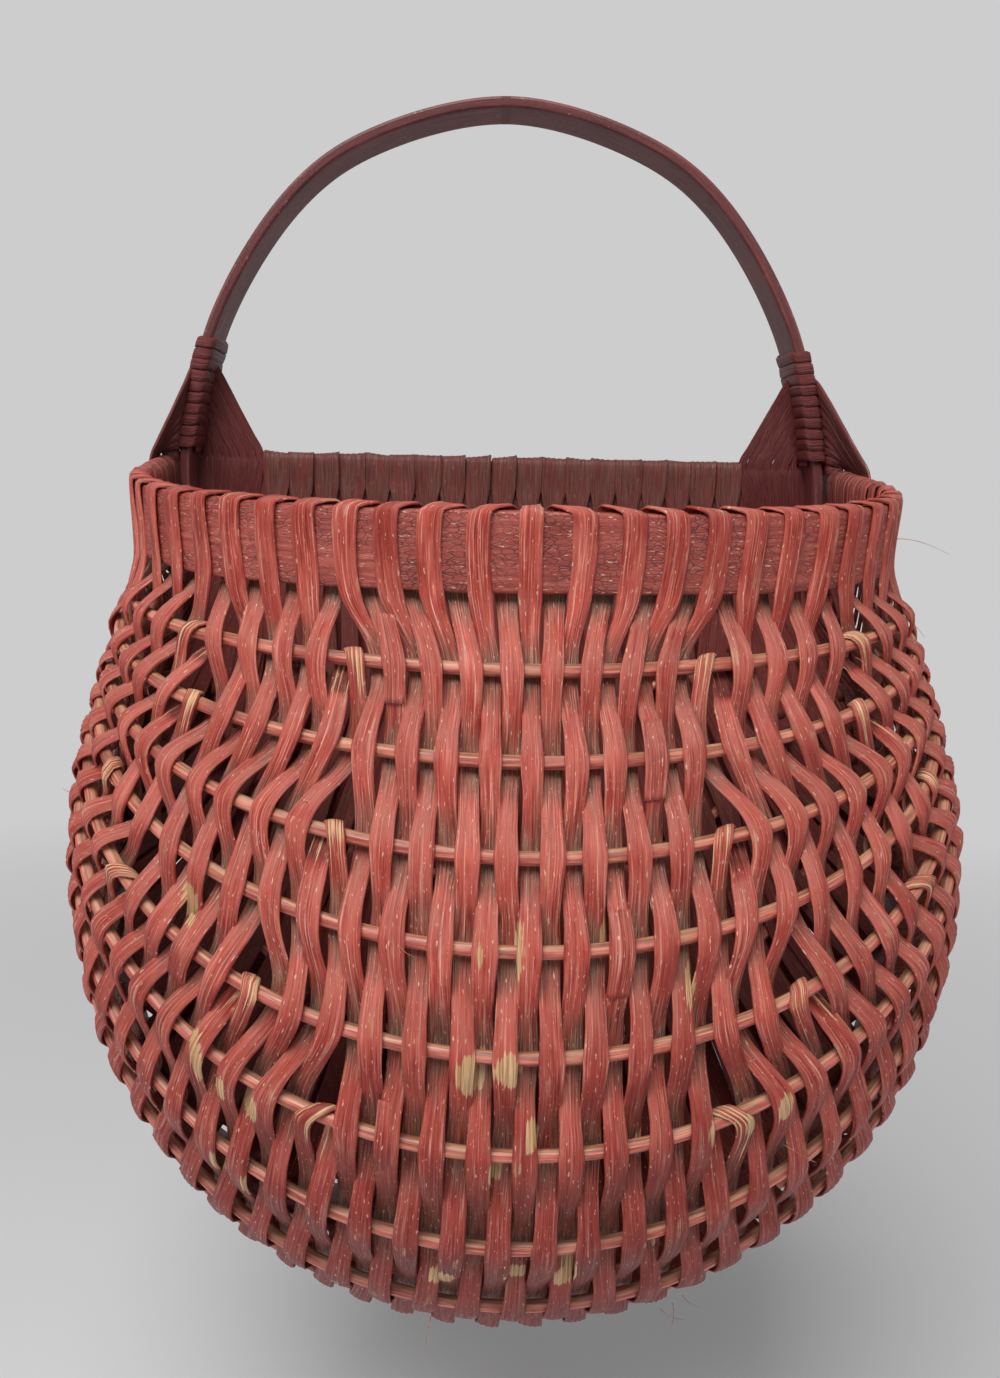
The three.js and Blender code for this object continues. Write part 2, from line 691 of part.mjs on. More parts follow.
// Full rows are taken in pairs from the left ear to the right one; the middle row is alone
for (let m = -HALF_ROWS; m <= HALF_ROWS; m += 2) {
  const outerRow = rows.find((row) => row.full === Math.abs(m));
  const innerRow = m === 0 ? null : rows.find((row) => row.full === Math.abs(m) - 1);
  const number = String((m + HALF_ROWS) / 2 + 1).padStart(2, "0");
  add(`weaver_${number}`, ribbon(turnSections(outerRow, innerRow, m < 0 ? -1 : 1)), "splint");
}

for (const [side, name] of [[-1, "left"], [1, "right"]]) {
  PACKING.forEach((_, block) => {
    add(`packing_${name}_${block + 1}`, ribbon(packingSections(block, side)), "splint");
  });
}

for (const [side, name] of [[-1, "left"], [1, "right"]]) {
  const p = (x, y, z) => vec(side * x + sway(y, z), y, z);
  const lashing = lashingSections(side);
  console.log(`${name} ear lashing: least gap to itself ${leastGap(lashing).toFixed(2)} mm`);
  add(`${name}_ear_lashing`, ribbon(lashing, LASH_THICK), "maroon");

  // inside the handle, standing on the back bar
  const seat = BAR_TOP_Z + SEAT_GAP;
  add(`${name}_upper_back_gusset`, gussetGeometry(
    p(EAR_X - BACK_GUSSET_IN, BACK_LAYER_Y, seat),
    p(UPPER_GUSSET_X - BACK_GUSSET_IN, BACK_LAYER_Y, UPPER_GUSSET_Z),
    p(EAR_X - UPPER_GUSSET_RUN, BACK_LAYER_Y, seat),
  ), "maroon");

  // in front of the handle, standing on the rim
  const front = -HALF_BAND - LASH_CLEARANCE - LASH_THICK - SEAT_GAP;
  const onRim = (y) => rimTop(y) + SIDE_GUSSET_UP;
  add(`${name}_upper_side_gusset`, gussetGeometry(
    p(RIM_HALF - SIDE_GUSSET_IN, front, onRim(front)),
    p(UPPER_GUSSET_X + SIDE_GUSSET_IN, front, UPPER_GUSSET_Z + 2 * SIDE_GUSSET_IN),
    p(RIM_HALF - SIDE_GUSSET_IN, front - UPPER_GUSSET_RUN, onRim(front - UPPER_GUSSET_RUN)),
  ), "maroon");

  // below the rim, in front of the hoop
  const below = (y) => rimTop(y) - BAND_WIDTH / Math.cos(rimFall) - 2 * SEAT_GAP;
  const edge = -HALF_BAND - 2 * SEAT_GAP;
  add(`${name}_lower_side_gusset`, gussetGeometry(
    p(RIM_HALF, edge, below(edge)),
    p(RIM_HALF, edge - GUSSET_RUN, below(edge - GUSSET_RUN)),
    p(SIDE_FOOT_X, edge, gussetLow),
  ), "splint");

  // below the back bar, inside the hoop
  const under = BAR_TOP_Z - BAR_HEIGHT - SEAT_GAP;
  const corner = BAR_HALF + SEAT_GAP;
  add(`${name}_lower_back_gusset`, gussetGeometry(
    p(corner, BACK_LAYER_Y, under),
    p(corner - BACK_GUSSET_RUN, BACK_LAYER_Y, under),
    p(corner + BACK_GUSSET_SPREAD, BACK_LAYER_Y, gussetLow),
  ), "splint");
}

export default group;
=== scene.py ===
"""Splint wall basket: the woven splints, ribs, hoop, rim and ears at full detail, with the stage.

Shapes are worked out in millimetres as lines that the splints cross, and carried into the meshes
in metres. X is to the right, Y into the wall, Z up, from the underside of the handle's crown.
"""

import bpy
import numpy as np
from mathutils import Matrix


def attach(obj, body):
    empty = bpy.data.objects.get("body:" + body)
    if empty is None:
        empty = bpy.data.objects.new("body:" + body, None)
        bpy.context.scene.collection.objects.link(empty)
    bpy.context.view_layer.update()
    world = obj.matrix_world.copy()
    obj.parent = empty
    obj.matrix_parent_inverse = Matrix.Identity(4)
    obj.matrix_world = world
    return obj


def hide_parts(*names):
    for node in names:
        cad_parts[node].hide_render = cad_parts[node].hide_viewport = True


bl_info = {
    "name": "Splint Wall Basket",
    "version": (1, 0, 0),
    "blender": (4, 5, 0),
    "location": "3D View > Sidebar > Basket",
    "description": "Builds a splint wall basket with woven ribs, lashed ears and a hoop handle",
    "category": "Add Mesh",
}

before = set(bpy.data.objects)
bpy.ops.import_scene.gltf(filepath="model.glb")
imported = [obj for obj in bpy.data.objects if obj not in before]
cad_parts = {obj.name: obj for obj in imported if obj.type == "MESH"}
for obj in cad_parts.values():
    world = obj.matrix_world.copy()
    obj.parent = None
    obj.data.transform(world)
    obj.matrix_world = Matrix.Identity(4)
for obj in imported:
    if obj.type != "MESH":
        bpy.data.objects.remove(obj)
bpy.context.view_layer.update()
MM = 0.001

# Stock
BAND_WIDTH = 24
BAND_THICK = 4
BAR_HEIGHT = 22
ROD_RADIUS = 2.1

# Hoop outline, right half, as x and z of its middle line
EAR_X = 121.5
EAR_Z = -127
HOOP_HALF = [
    (0, 2), (52, -11), (80, -31), (109, -76), (EAR_X, EAR_Z), (123.6, -155),
    (135, -190), (152, -236), (162, -290), (160, -345), (140, -402), (90, -440), (0, -453),
]

# Rim
RIM_EAR_CLEARANCE = 3.2
RIM_HALF = EAR_X + BAND_THICK + RIM_EAR_CLEARANCE
RIM_CORNER_AT = 50
RIM_POWER = 2.7
RIM_BACK_Y = 10
RIM_FRONT_Y = -138
RIM_BACK_Z = -127
RIM_FALL = np.radians(6.6)

# Back bar and back layer
BACK_LAYER_Y = 6.5
BAR_EAR_CLEARANCE = 0.7
BAR_HALF = EAR_X - BAND_THICK / 2 - BAR_EAR_CLEARANCE
BAR_TOP_Z = -127.5
BAR_END_ROOM = 2
BAR_END_REACH = 0.5

# Front ribs, as forward reach and height at the middle, and half width of the bulge
FRONT_RIBS = [
    (-146, -189, 129), (-156, -213.5, 131.5), (-165, -238.5, 134.5), (-172, -263, 138),
    (-176, -292, 142), (-174, -322, 146), (-160, -360, 149.5), (-134, -397.5, 152.5),
    (-98, -427, 154.5), (-56, -445, 156),
]
# Where along its reach a rib bulges, and how square its curve is: upper rib and lower rib
RIB_BULGE_AT = (0.3, 0.4)
RIB_POWER = (1.9, 2.0)

# Back ribs, as height at the middle and half width of the bulge, and where their ends lie on the
# long edge of the gusset, counted in ribs from its foot
BACK_RIBS = [(-378, 137), (-302, 115), (-226, 103)]
BACK_RIB_POWER = 2
BACK_BULGE_AT = 0.28
BACK_END_FROM = 0.8
BACK_END_SPARE = 0.6

# The body leans to one side as it goes down
SWAY = 6.4
SWAY_REACH = 200

# Splints: stock, and how far their middle stands off a rod, off a band's face and off its edge
SPLINT_THICK = 0.9
SPLINT_WIDTH = 7
FRONT_WIDTH = 7.4
WALL_WIDTH = 12
ROD_CLEARANCE = 0.8
BAND_CLEARANCE = 0.45
ROD_OFFSET = ROD_RADIUS + ROD_CLEARANCE + SPLINT_THICK / 2
BAND_OFFSET = BAND_THICK / 2 + BAND_CLEARANCE + SPLINT_THICK / 2
EDGE_TIP = BAND_CLEARANCE + SPLINT_THICK / 2
EDGE_CHAMFER = 0.7

# Full rows of one side, the row at which fillers end, the wider rows at the rim's middle, and
# the last rows that reach the back bar and each back rib
HALF_ROWS = 28
FILLER_END_ROW = 21
RIM_CENTRE_ROWS = 4
RIM_CENTRE_PITCH = 7.1
BAR_ROWS = 18
BACK_RIB_ROWS = (19, 23, 28)

# Room at a member's end, in rows; how far rods stop short, and back ribs further from the ears
END_ROOM = 0.6
ROD_END_GAP = 4
SEAT_GAP = 0.4
BACK_SET = 7
BACK_SET_STEP = 14

# Lean of a turn over the rim, length of its end behind a band, and gap between wraps on the bar
RIM_LEAN = 1.5
TAIL = 9
BAR_GAP = 0.5

# Where packing turns round a front rib it is narrower, and worn
ROD_TURN_NARROW = 0.8
ROD_TURN_BARE = 0.5

# Gussets: how far they reach from the ear along each side, and where their feet stand
GUSSET_RUN = 40
GUSSET_DROP = 52
RIB_CLEARANCE = 2.3
SIDE_FOOT_X = 140
BACK_FOOT_X = 124
BACK_GUSSET_RUN = 24

# Packing: the full row it follows, the rib each pair turns on, and the member each link turns on
PACKING = [
    (8, [6, 3, 1, 5], [11, 12, 13, 12, 11]),
    (15, [5, 2, 1, 4], [11, 12, 13, 12, 11]),
]
BODY_CENTRE = np.array([0, -50, -290.0])

# Where a splint goes over or under it is wider by SPREAD and tilts by TILT degrees; its outline
# has CROWN_POINTS on the face with the ridges
SPREAD = 1.7
TILT = 4
RIDGE = 0.1
CROWN_POINTS = 9

# Painted shade: rows at the wall go from the colour of the front to the deep one of the shaded inside
INSIDE_SHADE_FROM_Y = -75
INSIDE_SHADE_TO_Y = -12
INSIDE_SHADE_FOOT_Z = -425
INSIDE_SHADE_FADE = 30

# Painted shade: the splints go deeper low on the basket, between these heights in metres
LOW_SHADE_FROM_Z = -0.27
LOW_SHADE_TO_Z = -0.44

# Places where the paint is worn through, and three painted highlights, as x, z and half sizes across and
# along the splint
WORN_AND_HIGHLIGHT_PLACES = [
    (-9.1, -296, 3.4, 5.5), (1.4, -294, 3.4, 4), (-1.5, -327, 1.6, 4.5), (8, -314, 1.5, 4.5),
    (39.7, -319.5, 1.6, 2.5), (60.6, -317, 1.9, 3.5), (71.5, -315, 1.5, 4), (82, -312, 1.8, 4),
    (47.5, -362, 1.3, 3), (22, -371, 1.8, 6), (6, -373, 3.2, 2.5), (20.5, -377, 2.5, 3),
    (-88.8, -302.7, 1.8, 7), (-82, -312, 1.6, 3.5), (-73, -316, 2.2, 5), (-86, -345, 1.7, 5),
    # the three thin places near z -262, on this line and the next, are painted highlights
    (-76, -350, 1.7, 5), (-16.5, -377, 3.3, 4), (-8, -262, 0.8, 6), (3.6, -262, 0.9, 6),
    (26.6, -261, 0.6, 5), (51.5, -273, 1.1, 5), (-48.6, -305, 1.5, 4), (-91.5, -258, 2.4, 5),
]

# New splints let in: side, full row and the first rib they may cross over
SPLICES = [(-1, 7, 1), (1, 4, 4), (-1, 6, 6), (1, 9, 7), (1, 6, 2), (-1, 11, 5)]
SPLICE_LIFT = 0.8
SPLICE_THICK = 0.7

# Short splints slipped in at the wall: depth of the first layer and step to the next, thickness,
# widths from foot to top, and step along the bar
FILLING_Y = 1.9
FILLING_LAYER = 1.2
FILLING_THICK = 0.7
FILLING_WIDTHS = (9.5, 9.5, 9, 7)
FILLING_STEP = 2.6

# Loose fibres: root, direction and length
FIBRES = [
    ((131, -78, -152), (0.9, -0.2, 0.1), 15), ((133, -86, -178), (0.7, -0.2, -0.3), 9),
    ((131, -66, -146), (0.3, -0.5, 0.6), 5), ((62, -112, -412), (0.2, -0.4, -0.8), 9),
    ((57, -116, -411), (0.5, -0.3, -0.6), 8), ((66, -108, -412), (0.6, -0.2, -0.7), 7),
    ((27, -150, -379), (-0.3, -0.8, 0.2), 8), ((10, -166, -231), (0.5, -0.7, 0.4), 10),
    ((8, -165, -227), (0.7, -0.6, 0.2), 8), ((-56, -156, -226), (-0.4, -0.7, 0.3), 9),
    ((-29, -173, -261), (0.3, -0.8, -0.3), 7), ((51, -160, -224), (0.6, -0.6, 0.3), 8),
    ((105, -126, -186), (0.5, -0.7, -0.2), 9), ((-104, -126, -205), (-0.6, -0.5, 0.4), 9),
    ((-150, -60, -250), (-0.9, -0.2, 0.2), 8), ((154, -70, -262), (0.9, -0.2, -0.4), 9),
    ((-20, -140, -397), (-0.2, -0.5, -0.7), 8), ((85, -152, -330), (0.6, -0.6, -0.2), 8),
]
FIBRE_RADIUS = 0.13

# Ears
LASH_LOOPS = 10
LASH_PITCH = 4.2
LASH_TOP_Z = -82
LASH_CORNERS = 8
LASH_CLEARANCE = 0.4
LASH_THICK = 1.0
LASH_WIDTH = 4.15

# Strands of each gusset, and how far they climb the hoop and run along the rim or the bar
STRANDS = {"upper_back": (8, 34, 27), "upper_side": (9, 36.5, 27), "lower_side": (12, 52, 40),
           "lower_back": (12, 78, 27)}
LEFT_SIDE_RUN = 0.6
UPPER_SIDE_DROP = 3.5
STRAND_LAP = 1.3

# First seed of each group's random draws
SEED = {"front_rib": 10, "back_rib": 30, "turn": 900, "packing": 300, "lashing": 500, "gusset": 600,
        "let_in": 700, "filling": 800}

# Floor, in metres
FLOOR_COLOUR = (0.8, 0.8, 0.81)
FLOOR_SIDES = 96
FLOOR_Z = -0.62
FLOOR_REACH = 6.0
FLOOR_FADE_FROM = 0.65
FLOOR_FADE_TO = 1.5

# Lamps, in metres: places, the point they face and their size, and the strength of the sky
KEY_AT = (-0.3, -1.0, 1.05)
LEFT_FILL_AT = (-1.2, -0.6, 0.1)
RIGHT_FILL_AT = (1.2, -0.7, 0.35)
LAMPS_FACE = (0, -0.06, -0.25)
LAMP_SIZE = 0.9
SKY_STRENGTH = 0.2

# Camera: place in mm, degrees down, aside and rolled, and lens and sensor in mm
CAMERA_AT = (-11.63, -490, -137.44)
CAMERA_DOWN = 9.40
CAMERA_ASIDE = -1.49
CAMERA_ROLL = 1.3
CAMERA_LENS = 32.0
CAMERA_SENSOR = 36

# Points along lines and stations along bands
SAMPLES = 120
ROD_STEP = 3.0
ROD_SIDES = 12
ROD_TAPER = 4
HOOP_SAMPLES = 480
HOOP_STATIONS = 360
RIM_STATIONS = 260
BAR_STATIONS = 60
BAND_BEVEL = 1.1


# Arrays and curves

def unit(v):
    """Each row of v divided by its length."""
    v = np.asarray(v, float)
    return v / np.maximum(np.linalg.norm(v, axis=-1, keepdims=True), 1e-12)


def sway(y, z):
    """Sideways lean: SWAY times the sine of a quarter turn, reached at SWAY_REACH from the ears."""
    reach = np.hypot(np.minimum(0, y), np.maximum(0, EAR_Z - z))
    return SWAY * np.sin(np.minimum(1, reach / SWAY_REACH) * np.pi / 2)


def drift(t, seed, scale, amount):
    """Slow waver along a piece: three sines of t / scale with phases drawn from the seed."""
    phase = np.random.default_rng(seed).uniform(0, 2 * np.pi, 3)
    waves = [np.sin(t / scale * rate + p) / rate for rate, p in zip((1.0, 2.3, 4.1), phase)]
    return amount * sum(waves) / 1.6


class Line:
    """A rib, band or bar as a line through points, measured from its middle.

    Half is the right half from the middle outward; the left half is its mirror, and both are
    then moved sideways by the lean. A point at s is the straight mix of its neighbours.
    """

    def __init__(self, half, edge=None, facing=1, half_width=BAND_WIDTH / 2, wall_side=False,
                 set_back=0):
        half = np.asarray(half, float)
        left = half[:0:-1] * [-1, 1, 1]
        self.points = np.vstack([left, half])
        self.points[:, 0] += sway(self.points[:, 1], self.points[:, 2])
        steps = np.linalg.norm(np.diff(self.points, axis=0), axis=1)
        self.lengths = np.concatenate([[0], np.cumsum(steps)])
        self.middle = self.lengths[len(half) - 1]
        self.half = self.lengths[-1] - self.middle
        self.edge = None if edge is None else np.asarray(edge, float)
        self.facing = facing
        self.half_width = half_width
        self.wall_side = wall_side
        self.reach = self.half - ROD_END_GAP - SEAT_GAP - set_back
        self.stop = self.half - ROD_END_GAP

    def at(self, s):
        """Point at a length s from the middle."""
        u = np.asarray(s, float) + self.middle
        return np.stack([np.interp(u, self.lengths, self.points[:, k]) for k in range(3)], -1)

    def tangent(self, s):
        """Direction of the line at s, from the points 2 mm before and after."""
        s = np.asarray(s, float)
        return unit(self.at(s + 2) - self.at(s - 2))

    def face(self, s):
        """Outward direction of a band's face at s."""
        return unit(np.cross(self.tangent(s), self.edge)) * self.facing

    def length_to(self, z):
        """Length from the middle to where the right half falls below a height z."""
        below = (self.points[:, 2] < z) & (self.lengths > self.middle)
        return self.lengths[np.argmax(below)] - self.middle


def bow_half(ear, front, bulge, bulge_at, power):
    """Half of a bow from its front middle out to the ear.

    From the front to the bulge it is a quarter superellipse: out = bulge sin^(2/p), along =
    shoulder + (reach - shoulder) cos^(2/p). From there to the ear, out falls as a quarter sine.
    """
    origin = np.array([0, ear[1], ear[2]], float)
    axis = np.array([0, front[1], front[2]], float) - origin
    reach = np.linalg.norm(axis)
    axis = axis / reach
    shoulder = reach * bulge_at
    angle = np.linspace(0, np.pi / 2, SAMPLES + 1)
    out_low = bulge * np.sin(angle) ** (2 / power)
    along_low = shoulder + (reach - shoulder) * np.clip(np.cos(angle), 0, 1) ** (2 / power)
    along_top = shoulder * (1 - np.linspace(0, 1, SAMPLES // 2 + 1)[1:])
    out_top = ear[0] + (bulge - ear[0]) * np.sin(along_top / shoulder * np.pi / 2)
    along = np.concatenate([along_low, along_top])
    half = origin + along[:, None] * axis
    half[:, 0] = np.concatenate([out_low, out_top])
    return half


def through(points, counts, closed=False, power=0.5):
    """Smooth curve through points, with counts samples between each two.

    A cubic Hermite span on knots spaced by chord ** power, with the tangent at each knot the
    mix of its two chords' slopes weighted by the other chord's knot length.
    """
    points = np.asarray(points, float)
    if closed:
        points = np.vstack([points[-1:], points, points[:2]])
    gaps = np.maximum(np.linalg.norm(np.diff(points[:, :3], axis=0), axis=1), 1e-6) ** power
    slopes = np.diff(points, axis=0) / gaps[:, None]
    tangents = np.empty_like(points)
    tangents[0], tangents[-1] = slopes[0], slopes[-1]
    before, after = gaps[:-1, None], gaps[1:, None]
    tangents[1:-1] = (slopes[:-1] * after + slopes[1:] * before) / (before + after)
    first, last = (1, len(points) - 2) if closed else (0, len(points) - 1)
    index = np.repeat(np.arange(first, last), counts)
    local = np.concatenate([np.arange(n) / n for n in np.broadcast_to(counts, last - first)])
    if not closed:
        index = np.append(index, last - 1)
        local = np.append(local, 1.0)
    t, h = local[:, None], gaps[index][:, None]
    start, end = points[index], points[index + 1]
    return ((2 * t**3 - 3 * t**2 + 1) * start + (t**3 - 2 * t**2 + t) * h * tangents[index]
            + (3 * t**2 - 2 * t**3) * end + (t**3 - t**2) * h * tangents[index + 1])


# The basket's lines

def hoop_outline(count):
    """Closed outline of the hoop from its crown, count points at even lengths."""
    right = np.array([(x, 0, z) for x, z in HOOP_HALF], float)
    left = right[-2:0:-1] * [-1, 1, 1]
    fine = through(np.vstack([right, left]), 200, closed=True)
    fine = np.vstack([fine, fine[:1]])
    lengths = np.concatenate([[0], np.cumsum(np.linalg.norm(np.diff(fine, axis=0), axis=1))])
    u = np.linspace(0, lengths[-1], count, endpoint=False)
    return np.stack([np.interp(u, lengths, fine[:, k]) for k in range(3)], -1)


HOOP_LINE = hoop_outline(HOOP_SAMPLES)[:HOOP_SAMPLES // 2 + 1]
HOOP_SIDE = HOOP_LINE[HOOP_SAMPLES // 8:]
LOWER = HOOP_LINE[HOOP_LINE[:, 2] <= EAR_Z][::-1].copy()
LOWER[0, 0] = 0
HOOP = Line(LOWER, edge=(0, 1, 0), facing=-1)
HOOP.reach = HOOP.half - GUSSET_DROP - BAND_WIDTH
HANDLE = Line(HOOP_LINE, edge=(0, 1, 0), facing=1)
LASH_TOP = HANDLE.length_to(LASH_TOP_Z)

RIM_UP = np.array([0, -np.sin(RIM_FALL), np.cos(RIM_FALL)])


def rim_top(y):
    """Height of the rim's upper edge at a depth y."""
    return RIM_BACK_Z + (y - RIM_BACK_Y) * np.tan(RIM_FALL)


RIM = Line(
    bow_half((RIM_HALF, RIM_BACK_Y, rim_top(RIM_BACK_Y)), (0, RIM_FRONT_Y, rim_top(RIM_FRONT_Y)),
             RIM_HALF, RIM_CORNER_AT / (RIM_BACK_Y - RIM_FRONT_Y), RIM_POWER) - RIM_UP * BAND_WIDTH / 2,
    edge=RIM_UP, facing=1)
RIM.reach = RIM.half - (RIM_BACK_Y + BAND_WIDTH / 2) - GUSSET_RUN

GUSSET_LOW = EAR_Z - BAND_WIDTH - GUSSET_DROP
GUSSET_FRONT = -BAND_WIDTH / 2 - GUSSET_RUN
GUSSET_TOP = np.array([RIM_HALF, GUSSET_FRONT - RIB_CLEARANCE,
                       rim_top(GUSSET_FRONT) - BAND_WIDTH - 2 * RIB_CLEARANCE])
GUSSET_FOOT = np.array([SIDE_FOOT_X, -BAND_WIDTH / 2 - RIB_CLEARANCE, GUSSET_LOW - 2 * RIB_CLEARANCE])


def front_rib_lines():
    """Front ribs, each a bow whose ear lies on the long edge of the lower side gusset."""
    lines = []
    for i, (y, z, bulge) in enumerate(FRONT_RIBS):
        ear = GUSSET_TOP + (GUSSET_FOOT - GUSSET_TOP) * (i + 1) / (len(FRONT_RIBS) + 2)
        lower = i / (len(FRONT_RIBS) - 1)
        bulge_at, power = (low + (high - low) * lower for low, high in (RIB_BULGE_AT, RIB_POWER))
        lines.append(Line(bow_half(ear, (0, y, z), bulge, bulge_at, power)))
    return lines


def back_rib_lines():
    """Back ribs, flat bows in the wall side layer, from the long edge of the lower back gusset."""
    top = np.array([BAR_HALF - BACK_GUSSET_RUN, BACK_LAYER_Y, BAR_TOP_Z - BAR_HEIGHT])
    foot = np.array([BACK_FOOT_X, BACK_LAYER_Y, GUSSET_LOW])
    lines = []
    for i, (z, bulge) in enumerate(BACK_RIBS):
        ear = top + (foot - top) * (1 - (i + BACK_END_FROM) / (len(BACK_RIBS) + BACK_END_SPARE))
        half = bow_half(ear, (0, BACK_LAYER_Y, z), max(bulge, ear[0]), BACK_BULGE_AT, BACK_RIB_POWER)
        lines.append(Line(half, wall_side=True, set_back=BACK_SET + BACK_SET_STEP * i))
    return lines


FRONT = front_rib_lines()
BACK = back_rib_lines()
BAR = Line([(x, BACK_LAYER_Y, BAR_TOP_Z - BAR_HEIGHT / 2) for x in np.linspace(0, BAR_HALF, SAMPLES + 1)],
           edge=(0, 0, 1), facing=-1, half_width=BAR_HEIGHT / 2)
BAR.reach = BAR_HALF - BACK_GUSSET_RUN - BAR_END_ROOM
MEMBERS = [RIM, *FRONT, HOOP, *BACK, BAR]
HOOP_AT = len(FRONT) + 1
BAR_AT = len(MEMBERS) - 1


# Rows of the weave

def side_rows():
    """Rows of one side from the middle out: full rows, with packing rows after those named."""
    rows = []
    for m in range(HALF_ROWS + 1):
        outer = m > FILLER_END_ROW
        foot = BAR_AT
        if m > BAR_ROWS:
            foot -= 1 + next(k for k, last in enumerate(BACK_RIB_ROWS) if m <= last)
        rows.append({"full": m, "block": None, "top": 0, "foot": foot, "outer": outer})
        for block, (after, tops, feet) in enumerate(PACKING):
            for r in range(2 * len(tops) if after == m else 0):
                rows.append({"full": None, "block": block, "top": tops[r // 2], "foot": feet[(r + 1) // 2],
                             "outer": outer})
    for i, row in enumerate(rows):
        row["index"] = i
    return rows


ROWS = side_rows()
ORDERS = []
PITCHES = []
for j, line in enumerate(MEMBERS):
    met = [row["index"] for row in ROWS if row["top"] <= j <= row["foot"]]
    centre = RIM_CENTRE_ROWS if line is RIM else 0
    ORDERS.append({index: order for order, index in enumerate(met)})
    PITCHES.append((line.reach - centre * RIM_CENTRE_PITCH) / (len(met) - 1 + END_ROOM - centre))
FIRST_OUTER = next(row["index"] for row in ROWS if row["outer"])
for i in range(0, len(FRONT), 2):
    FRONT[i].stop = (ORDERS[i + 1][FIRST_OUTER] - END_ROOM) * PITCHES[i + 1] - SEAT_GAP


def along(j, order):
    """Distance of a row from the middle of member j; the rim's middle rows stand wider."""
    centre = min(order, RIM_CENTRE_ROWS) if j == 0 else 0
    return centre * RIM_CENTRE_PITCH + (order - centre) * PITCHES[j]


def passes(row, j):
    """Whether an outer row passes the line of a filler rib that has ended."""
    return row["outer"] and j < HOOP_AT and j % 2 == 1


def crossings(row, side, weave):
    """Where a row meets its members: place along each, over or under, width and directions."""
    result = []
    count = -1
    strays = np.random.default_rng(97 * row["index"] + 31 * (side > 0)).uniform(-1, 1, len(MEMBERS))
    for j, line in enumerate(MEMBERS):
        if not passes(row, j):
            count += 1
        if j < row["top"] or j > row["foot"]:
            continue
        order = ORDERS[j][row["index"]]
        over = 0 if passes(row, j) else (1 if (count + row["index"]) % 2 == 0 else -1)
        shift = 0
        if line.edge is None and order > 0:
            bow = 0 if line.wall_side else over * weave.swing * min(1, order / HALF_ROWS)
            shift = bow + strays[j] * weave.stray
        s = side * (along(j, order) + shift)
        wide = min(WALL_WIDTH, PITCHES[j] + weave.snug)
        slim = min(FRONT_WIDTH, PITCHES[j] - weave.looseness)
        result.append({"line": line, "s": s, "over": over, "point": line.at(s), "across": line.tangent(s),
                       "width": wide if line.wall_side else slim, "wide": wide})
    return result


def station(p, across, width, out, over, bare=0):
    """A place of a splint: its direction across, its width, the way out of the basket and over
    or under; bare is how far the paint is worn off there.
    """
    return {"p": p, "across": across, "width": width, "out": out, "over": over, "bare": bare}


def beside(cross, s, normal_offset, edge_offset, width=None):
    """Station of a splint beside a band, off its face and along its edge direction."""
    line = cross["line"]
    face = line.face(s)
    p = line.at(s) + face * normal_offset + line.edge * edge_offset
    return station(p, line.tangent(s), cross["width"] if width is None else width, face,
                   np.sign(normal_offset))


def edge_turn(start, end):
    """Splint folded round the free edge of a band, as four chamfered stations."""
    tip = start["line"].half_width + EDGE_TIP
    result = []
    low, near = tip - EDGE_CHAMFER, BAND_OFFSET - EDGE_CHAMFER
    for normal, edge, t in ((BAND_OFFSET, low, 0.1), (near, tip, 0.25), (-near, tip, 0.75),
                            (-BAND_OFFSET, low, 0.9)):
        s = start["s"] + (end["s"] - start["s"]) * t
        result.append({**beside(start, s, start["over"] * normal, edge), "over": 1})
    return result


def rod_turn(start, end, upward):
    """Splint turned round a rod through half a circle, at 0, 60, 120 and 180 degrees."""
    beyond = np.cross(start["normal"], start["across"])
    if (beyond @ start["ahead"] < 0) != upward:
        beyond = -beyond
    result = []
    for i in range(4):
        angle = i * np.pi / 3
        s = start["s"] + (end["s"] - start["s"]) * i / 3
        p = (start["line"].at(s) + start["normal"] * start["over"] * ROD_OFFSET * np.cos(angle)
             + beyond * ROD_OFFSET * np.sin(angle))
        narrow, bare = (1, 0) if start["line"].wall_side else (ROD_TURN_NARROW, ROD_TURN_BARE)
        result.append(station(p, start["line"].tangent(s), start["width"] * narrow,
                              unit(p - start["line"].at(s)), 1, bare))
    return result


def row_body(crossed):
    """Stations of one row from its top to its foot, without the turns at its ends."""
    stations = []
    for i, cross in enumerate(crossed):
        before = crossed[max(0, i - 1)]["point"]
        after = crossed[min(len(crossed) - 1, i + 1)]["point"]
        ahead = unit(after - before)
        cross["ahead"] = ahead
        line = cross["line"]
        if line.edge is not None:
            below = -line.half_width - BAND_CLEARANCE
            stations.append(beside(cross, cross["s"], cross["over"] * BAND_OFFSET, below))
            if line is HOOP and i < len(crossed) - 1:
                if cross["over"] > 0:
                    stations += edge_turn(cross, cross)
                level = BACK_LAYER_Y - cross["over"] * ROD_OFFSET
                stations.append(beside(cross, cross["s"], -BAND_OFFSET, level, cross["wide"]))
            continue
        normal = unit(np.cross(cross["across"], ahead))
        outward = np.array([0, 1, 0]) if line.wall_side else cross["point"] - BODY_CENTRE
        if normal @ outward < 0:
            normal = -normal
        cross["normal"] = normal
        stations.append(station(cross["point"] + normal * cross["over"] * ROD_OFFSET, cross["across"],
                                cross["width"], normal, cross["over"]))
    return stations


